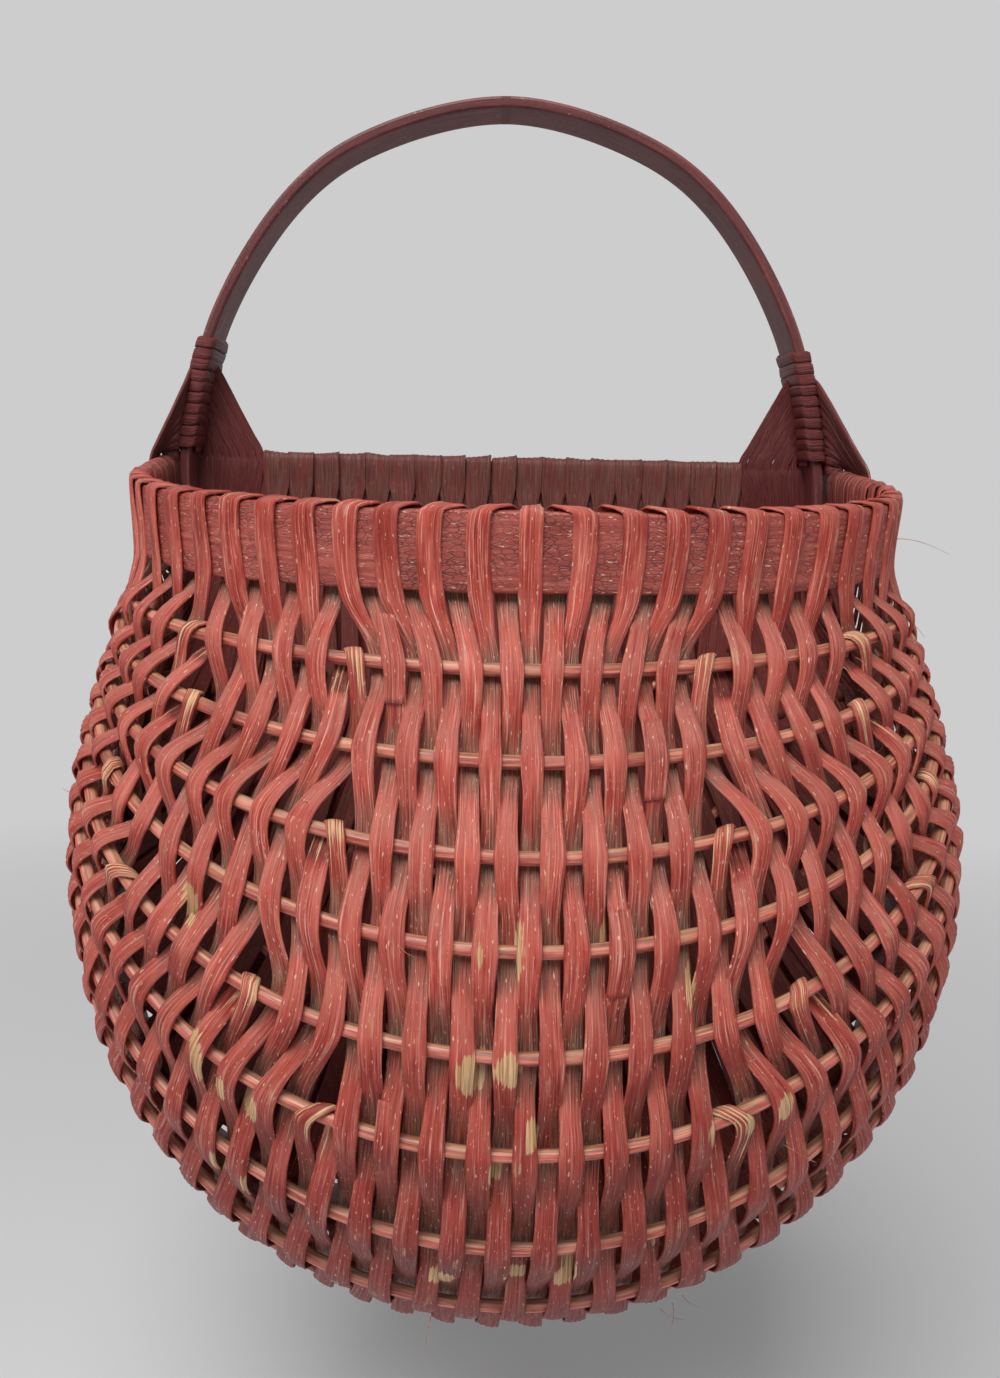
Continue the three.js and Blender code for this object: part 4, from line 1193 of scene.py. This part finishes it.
class BASKET_OT_packing(bpy.types.Operator):
    """Short rows that fill the bulge between the full turns"""
    bl_idname = "basket.packing"
    bl_label = "Packing"

    def execute(self, context):
        made = finishes()
        weave = context.scene.basket_weave
        for side, word in ((-1, "left"), (1, "right")):
            for block in range(len(PACKING)):
                stations = packing_stations(block, side, weave)
                name = f"packing_{word}_{block + 1}"
                mesh = woven(name, stations, SEED["packing"] + 10 * block + side, weave)
                place(f"filler_{word}_{block + 1}", mesh, made["splint red"], [name], "splint")
        return {"FINISHED"}


def laid(route, side):
    """Stations along a route of (place, outward direction, width); across is out cross ahead."""
    path = np.array([place for place, _, _ in route], float)
    out = unit(np.array([direction for _, direction, _ in route], float)) * [side, 1, 1]
    path[:, 0] = side * path[:, 0] + sway(path[:, 1], path[:, 2])
    across = unit(np.cross(out, unit(np.gradient(path, axis=0))))
    widths = [width for _, _, width in route]
    return [station(*values, 1) for values in zip(path, across, widths, out)]


def slant(start, end, out, width):
    """Route from near one place to near another, of an even width."""
    start, end = np.array(start, float), np.array(end, float)
    return [(start + (end - start) * t, out, width) for t in (0.2, 0.5, 0.8)]


def gusset_strands(part, side):
    """Routes of an ear's strands in one quarter, from the corner outward.

    A strand in front goes round the hoop at a height z and round the rim at a depth y; one
    behind goes from the hoop to the back bar at a sideways place x. Strands stand a step apart
    on both, so that they lie side by side, as wide as step * step / diagonal, in between.
    """
    count, rise, run = STRANDS[part]
    if part == "upper_side" and side < 0:
        run *= LEFT_SIDE_RUN
    high, far = rise / count, run / count
    slim = STRAND_LAP * high * far / np.hypot(high, far)
    x_out, x_in, up = (1, 0, 0), (-1, 0, 0), (0, 0, 1)
    front, back = (0, -1, 0), (0, 1, 0)
    past_rim, inside_rim = RIM_HALF + BAND_OFFSET, RIM_HALF - BAND_OFFSET
    routes = []
    for k in range(count):
        z = EAR_Z + 2 + high * k if part.startswith("upper") else EAR_Z - BAND_WIDTH - 3 - high * k
        z -= UPPER_SIDE_DROP if part == "upper_side" else 0
        hoop = np.interp(-z, -HOOP_SIDE[:, 2], HOOP_SIDE[:, 0])
        past_hoop, inside_hoop = hoop + BAND_OFFSET, hoop - BAND_OFFSET
        y = -BAND_WIDTH / 2 - 2 - far * k
        top = rim_top(y)
        x = BAR_HALF + 0.4 - far * k
        if part == "upper_side":
            start, end = (hoop + 2.4, -13.6, z), (RIM_HALF + 2.4, y, top + 2.5)
            broad = max(slim, high * (1 - 0.18 * k))
            route = [((past_hoop, 9, z), x_out, high), ((past_hoop, -9, z), x_out, high),
                     *slant(start, end, x_out, broad), (end, x_out, max(far, broad * 0.7)),
                     ((RIM_HALF + 3.2, y, top - 3), x_out, far), ((RIM_HALF + 3.2, y, top - 12), x_out, far)]
        elif part == "lower_side":
            start, end = (past_rim, y, top - 22), (hoop + 2.2, -13.5, z)
            route = [((inside_rim, y, top - 18), x_in, far), ((inside_rim, y, top - 1), x_in, far),
                     ((RIM_HALF, y, top + 1.1), up, far), ((past_rim, y, top - 1), x_out, far),
                     ((past_rim, y, top - 13), x_out, far), *slant(start, end, x_out, slim),
                     ((past_hoop, -8, z), x_out, high), ((past_hoop, 10, z), x_out, high),
                     ((hoop, 13.2, z), back, high)]
        elif part == "upper_back":
            start, end = (hoop - 3.2, 2.5, z), (x, 3.2, BAR_TOP_Z + 1)
            route = [((inside_hoop, -8, z), x_in, high), ((hoop - 3.2, 0, z), (-0.7, -0.7, 0), high),
                     *slant(start, end, front, slim), (end, front, far),
                     ((x, 3.2, BAR_TOP_Z - BAR_HEIGHT + 3), front, far)]
        else:
            start, end = (x, 3.4, BAR_TOP_Z - BAR_HEIGHT), (hoop - 3.6, 4.6, z)
            route = [((x, 9.6, BAR_TOP_Z - 8), back, far), ((x, 9.6, BAR_TOP_Z - 1), back, far),
                     ((x, 6.5, BAR_TOP_Z + 1.2), up, far), ((x, 3.4, BAR_TOP_Z - 1), front, far),
                     *slant(start, end, front, slim), ((inside_hoop, -3, z), x_in, high),
                     ((inside_hoop, -10, z), x_in, high)]
        routes.append(laid(route, side))
    return routes


def lashing_stations(side):
    """Stations of the strand wound down the hoop, eight to a loop, one pitch lower each loop."""
    out = BAND_THICK / 2 + LASH_CLEARANCE + LASH_THICK / 2
    wide = BAND_WIDTH / 2 + LASH_CLEARANCE + LASH_THICK / 2
    rear = [(out, wide - EDGE_CHAMFER), (out - EDGE_CHAMFER, wide),
            (EDGE_CHAMFER - out, wide), (-out, wide - EDGE_CHAMFER)]
    corners = rear + [(-a, -b) for a, b in rear]
    stations = []
    for i in range(LASH_LOOPS * LASH_CORNERS + 1):
        s = side * (LASH_TOP + LASH_PITCH * i / LASH_CORNERS)
        normal, edge = corners[i % LASH_CORNERS]
        face = HANDLE.face(s)
        direction = unit(face * normal + HANDLE.edge * edge * 0.25)
        p = HANDLE.at(s) + face * normal + HANDLE.edge * edge
        stations.append(station(p, HANDLE.tangent(s), LASH_WIDTH, direction, 1))
    return stations


class BASKET_OT_ears(bpy.types.Operator):
    """Lashings and triangular gussets that tie rim, bar and hoop together"""
    bl_idname = "basket.ears"
    bl_label = "Ears"

    def execute(self, context):
        made = finishes()
        for side, word in ((-1, "left"), (1, "right")):
            strand = splint_body(lashing_stations(side), SEED["lashing"] + side, 1.4, 0.22,
                                 thick=LASH_THICK, waver=0.1)
            place(f"{word}_lashing", lay_mesh(f"{word}_lashing", [strand]), made["ear splint"],
                  [f"{word}_ear_lashing"], "ear_splint")
            for part, dark in (("upper_back", True), ("upper_side", True), ("lower_side", False),
                               ("lower_back", True)):
                name = f"{word}_{part}_gusset"
                seed = SEED["gusset"] + side + len(part)
                strands = [splint_body(stations, seed + 10 * k, 1.8, 0.15, waver=0.15)
                           for k, stations in enumerate(gusset_strands(part, side))]
                place(f"{word}_{part}_strands", lay_mesh(name, strands),
                      made["ear splint" if dark else "splint red"], [name],
                      "ear_splint" if part.startswith("upper") else "splint")
        return {"FINISHED"}


def splice_stations(side, m, rib, weave):
    """A new splint's end laid over row m where that row goes over a rib, lifted off it."""
    row = next(row for row in ROWS if row["full"] == m)
    crossed = crossings(row, side, weave)
    row_body(crossed)
    at = next(i for i, cross in enumerate(crossed[1:-1], 1)
              if cross["line"] in FRONT[rib - 1:] and cross["over"] > 0)
    before, here, after = crossed[at - 1:at + 2]
    top = here["point"] + here["normal"] * (ROD_OFFSET + SPLICE_LIFT)
    lift = here["normal"] * (ROD_OFFSET * 0.25 + SPLICE_LIFT)
    first, last = (here["point"] * (1 - t) + near["point"] * t + lift
                   for near, t in ((before, 0.42), (after, 0.46)))
    return [station(p, here["across"], here["width"] + wide, here["normal"], 0)
            for p, wide in ((first, 0.2), (top, 0.9), (last, 0.2))]


def filling_stations(side):
    """Short splints slipped in at the wall, where rows spread because others between them end.

    A row that ends on a member leaves a gap: its splint runs from there to the gap's middle on
    the next member. Where no row goes on beyond the last one, splints half a row apart run up
    to the underside of the back bar instead.
    """
    result = []
    for j in range(HOOP_AT, BAR_AT):
        line, upper = MEMBERS[j], MEMBERS[j + 1]
        above = sorted(ORDERS[j + 1], key=ORDERS[j + 1].get)
        gaps = []
        for k, (near, far) in enumerate(zip(above, above[1:])):
            top = upper.at(side * along(j + 1, k + 0.5))
            gaps += [(order, top) for order in range(ORDERS[j][near] + 1, ORDERS[j][far])]
        last = ORDERS[j][above[-1]]
        ending = range(last - 1, len(ORDERS[j])) if last + 1 < len(ORDERS[j]) else ()
        for i, order in enumerate(ending):
            for part in (-0.5, 0, 0.5):
                under = BAR.at(side * (BAR.reach + FILLING_STEP * (i - 1 + part)))
                gaps.append((order + part, under - [0, 0, BAR_HEIGHT / 2 + 1]))
        for i, (order, top) in enumerate(gaps):
            foot = line.at(side * along(j, order))
            ends = [foot + (top - foot) * t for t in ((0.12 if line is HOOP else -0.06), 0.35, 0.7, 1)]
            for p in ends:
                p[1] = FILLING_Y - FILLING_THICK * FILLING_LAYER * (i % 3)
            across = unit(np.cross((0, 1, 0), top - foot))
            result.append([station(p, across, width, np.array([0, 1, 0]), 0)
                           for p, width in zip(ends, FILLING_WIDTHS)])
    return result


def fibre_body(root, direction, length, seed):
    """A hair of wood: a thin round thread that leaves its root straight and curls as it goes."""
    bend = np.random.default_rng(seed).uniform(-1, 1, 3)
    t = np.linspace(0, 1, 10)[:, None]
    centre = np.array(root) + length * (t * unit(direction) + 0.45 * t**2 * bend)
    ahead = unit(np.gradient(centre, axis=0))
    a = unit(np.cross(ahead, (0.3, 0.2, 1)))
    b = np.cross(ahead, a)
    angle = np.linspace(0, 2 * np.pi, 5, endpoint=False)[None, :, None]
    thin = FIBRE_RADIUS * (1 - 0.6 * t)[:, :, None]
    rings = centre[:, None] + thin * (np.cos(angle) * a[:, None] + np.sin(angle) * b[:, None])
    return rings, {"uv": np.stack([rings[..., 0], rings[..., 2]], -1), "tone": np.full((10, 5), 0.5),
                   "dust_and_top_light": np.full((10, 5), 0.6)}


class BASKET_OT_trim(bpy.types.Operator):
    """Ends of new splints let in over old ones, and loose fibres"""
    bl_idname = "basket.trim"
    bl_label = "Let-in ends and fibres"

    def execute(self, context):
        made = finishes()
        weave = context.scene.basket_weave
        ends = [splint_body(splice_stations(*splice, weave), SEED["let_in"] + 13 * i, 1.6, weave.cup,
                            thick=SPLICE_THICK)
                for i, splice in enumerate(SPLICES)]
        filling = [splint_body(stations, SEED["filling"] + i, 3, 0.2, thick=FILLING_THICK)
                   for i, stations in enumerate(filling_stations(-1) + filling_stations(1))]
        fibres = [fibre_body(*fibre, i) for i, fibre in enumerate(FIBRES)]
        for name, bodies, finish in (("let_in_ends", ends, "splint red"),
                                     ("wall_filling", filling, "splint red"),
                                     ("loose_fibres", fibres, "rib salmon")):
            place(name, lay_mesh(name, bodies), made[finish], [], "splint")
        return {"FINISHED"}


# Stage

def lay_floor(colour):
    """A round pale floor under the basket that runs out into the backdrop's colour far off."""
    angle = np.linspace(0, 2 * np.pi, FLOOR_SIDES, endpoint=False)
    round_x, round_y = FLOOR_REACH * np.cos(angle), FLOOR_REACH * np.sin(angle)
    rim = np.stack([round_x, round_y, np.full(FLOOR_SIDES, FLOOR_Z)], -1)
    mesh = bpy.data.meshes.new("floor")
    mesh.from_pydata(rim.tolist(), [], [list(range(FLOOR_SIDES))])
    mesh.update()
    n = Paint("floor pale")
    n.shader.inputs["Base Color"].default_value = rgba(FLOOR_COLOUR)
    n.shader.inputs["Roughness"].default_value = 0.9
    away = n.node("ShaderNodeVectorMath", {0: n.object_place()}, operation="LENGTH").outputs["Value"]
    seen = n.node("ShaderNodeLightPath").outputs["Is Camera Ray"]
    fade = n.math("MULTIPLY", n.range(away, FLOOR_FADE_FROM, FLOOR_FADE_TO), seen)
    glow = n.node("ShaderNodeEmission", {"Color": rgba(colour), "Strength": 1.0}).outputs[0]
    mixed = n.node("ShaderNodeMixShader", {0: fade, 1: n.shader.outputs[0], 2: glow}).outputs[0]
    n.join(mixed, n.output)
    mesh.materials.append(n.material)
    obj = bpy.data.objects.new("floor", mesh)
    bpy.context.scene.collection.objects.link(obj)


def lamp(name, at, power):
    """A square soft lamp aimed at the middle of the basket."""
    light = bpy.data.lights.new(name, "AREA")
    light.size = LAMP_SIZE
    light.energy = power
    obj = bpy.data.objects.new(name, light)
    position = np.array(at, float)
    back = unit(position - np.array(LAMPS_FACE))
    right = unit(np.cross((0, 0, 1), back))
    up = np.cross(back, right)
    obj.matrix_world = pose(right, up, back, position)
    bpy.context.scene.collection.objects.link(obj)


def pose(right, up, back, at):
    """A 4 by 4 placing matrix from three directions and a place."""
    matrix = np.eye(4)
    matrix[:3, 0], matrix[:3, 1], matrix[:3, 2], matrix[:3, 3] = right, up, back, at
    return Matrix(matrix.tolist())


def sky(scene, colour):
    """Even soft light from all round, and the backdrop's colour where the camera sees past."""
    world = bpy.data.worlds.new("backdrop")
    world.use_nodes = True
    n = Nodes(world.node_tree)
    path = n.node("ShaderNodeLightPath").outputs
    seen = n.math("MAXIMUM", path["Is Camera Ray"], path["Is Glossy Ray"])
    seen = n.math("MAXIMUM", seen, path["Is Transmission Ray"])
    around = n.node("ShaderNodeBackground", {0: (1, 1, 1, 1), 1: SKY_STRENGTH}).outputs[0]
    behind = n.node("ShaderNodeBackground", {0: rgba(colour), 1: 1.0}).outputs[0]
    mixed = n.node("ShaderNodeMixShader", {0: seen, 1: around, 2: behind}).outputs[0]
    n.join(mixed, n.node("ShaderNodeOutputWorld").inputs[0])
    scene.world = world


def aim_camera(scene):
    """The camera at the photograph's place and angle."""
    down, aside, roll = np.radians([CAMERA_DOWN, CAMERA_ASIDE, CAMERA_ROLL])
    ahead = np.array([-np.sin(aside) * np.cos(down), np.cos(aside) * np.cos(down), -np.sin(down)])
    right = np.array([np.cos(aside), np.sin(aside), 0.0])
    up = np.cross(right, ahead)
    right, up = right * np.cos(roll) + up * np.sin(roll), up * np.cos(roll) - right * np.sin(roll)
    data = bpy.data.cameras.new("camera")
    data.lens = CAMERA_LENS
    data.sensor_width = CAMERA_SENSOR
    camera = bpy.data.objects.new("camera", data)
    camera.matrix_world = pose(right, up, -ahead, np.array(CAMERA_AT) * MM)
    scene.collection.objects.link(camera)
    scene.camera = camera


class BASKET_OT_stage(bpy.types.Operator):
    """Pale floor, soft lamps and the camera at the photograph's angle"""
    bl_idname = "basket.stage"
    bl_label = "Stage"

    def execute(self, context):
        scene = context.scene
        stage = scene.basket_stage
        lay_floor(stage.backdrop)
        lamp("key", KEY_AT, stage.key)
        lamp("left fill", LEFT_FILL_AT, stage.fill)
        lamp("right fill", RIGHT_FILL_AT, stage.fill)
        sky(scene, stage.backdrop)
        aim_camera(scene)
        scene.view_settings.view_transform = "Standard"
        return {"FINISHED"}


class BASKET_PT_panel(bpy.types.Panel):
    """Sizes and steps of the basket"""
    bl_idname = "BASKET_PT_panel"
    bl_label = "Splint Wall Basket"
    bl_space_type = "VIEW_3D"
    bl_region_type = "UI"
    bl_category = "Basket"

    def draw(self, context):
        scene = context.scene
        for group in (scene.basket_weave, scene.basket_paint, scene.basket_stage):
            for name in group.__annotations__:
                self.layout.prop(group, name)
        for operator in OPERATORS:
            self.layout.operator(operator.bl_idname)


OPERATORS = (BASKET_OT_stage, BASKET_OT_bands, BASKET_OT_ribs, BASKET_OT_weave, BASKET_OT_packing,
             BASKET_OT_ears, BASKET_OT_trim)
CLASSES = (BasketWeave, BasketPaint, BasketStage, *OPERATORS, BASKET_PT_panel)


def register():
    for cls in CLASSES:
        bpy.utils.register_class(cls)
    bpy.types.Scene.basket_weave = bpy.props.PointerProperty(type=BasketWeave)
    bpy.types.Scene.basket_paint = bpy.props.PointerProperty(type=BasketPaint)
    bpy.types.Scene.basket_stage = bpy.props.PointerProperty(type=BasketStage)


def unregister():
    del bpy.types.Scene.basket_stage
    del bpy.types.Scene.basket_paint
    del bpy.types.Scene.basket_weave
    for cls in reversed(CLASSES):
        bpy.utils.unregister_class(cls)


def main():
    register()
    bpy.ops.basket.stage()
    bpy.ops.basket.bands()
    bpy.ops.basket.ribs()
    bpy.ops.basket.weave()
    bpy.ops.basket.packing()
    bpy.ops.basket.ears()
    bpy.ops.basket.trim()


if __name__ == "__main__":
    main()
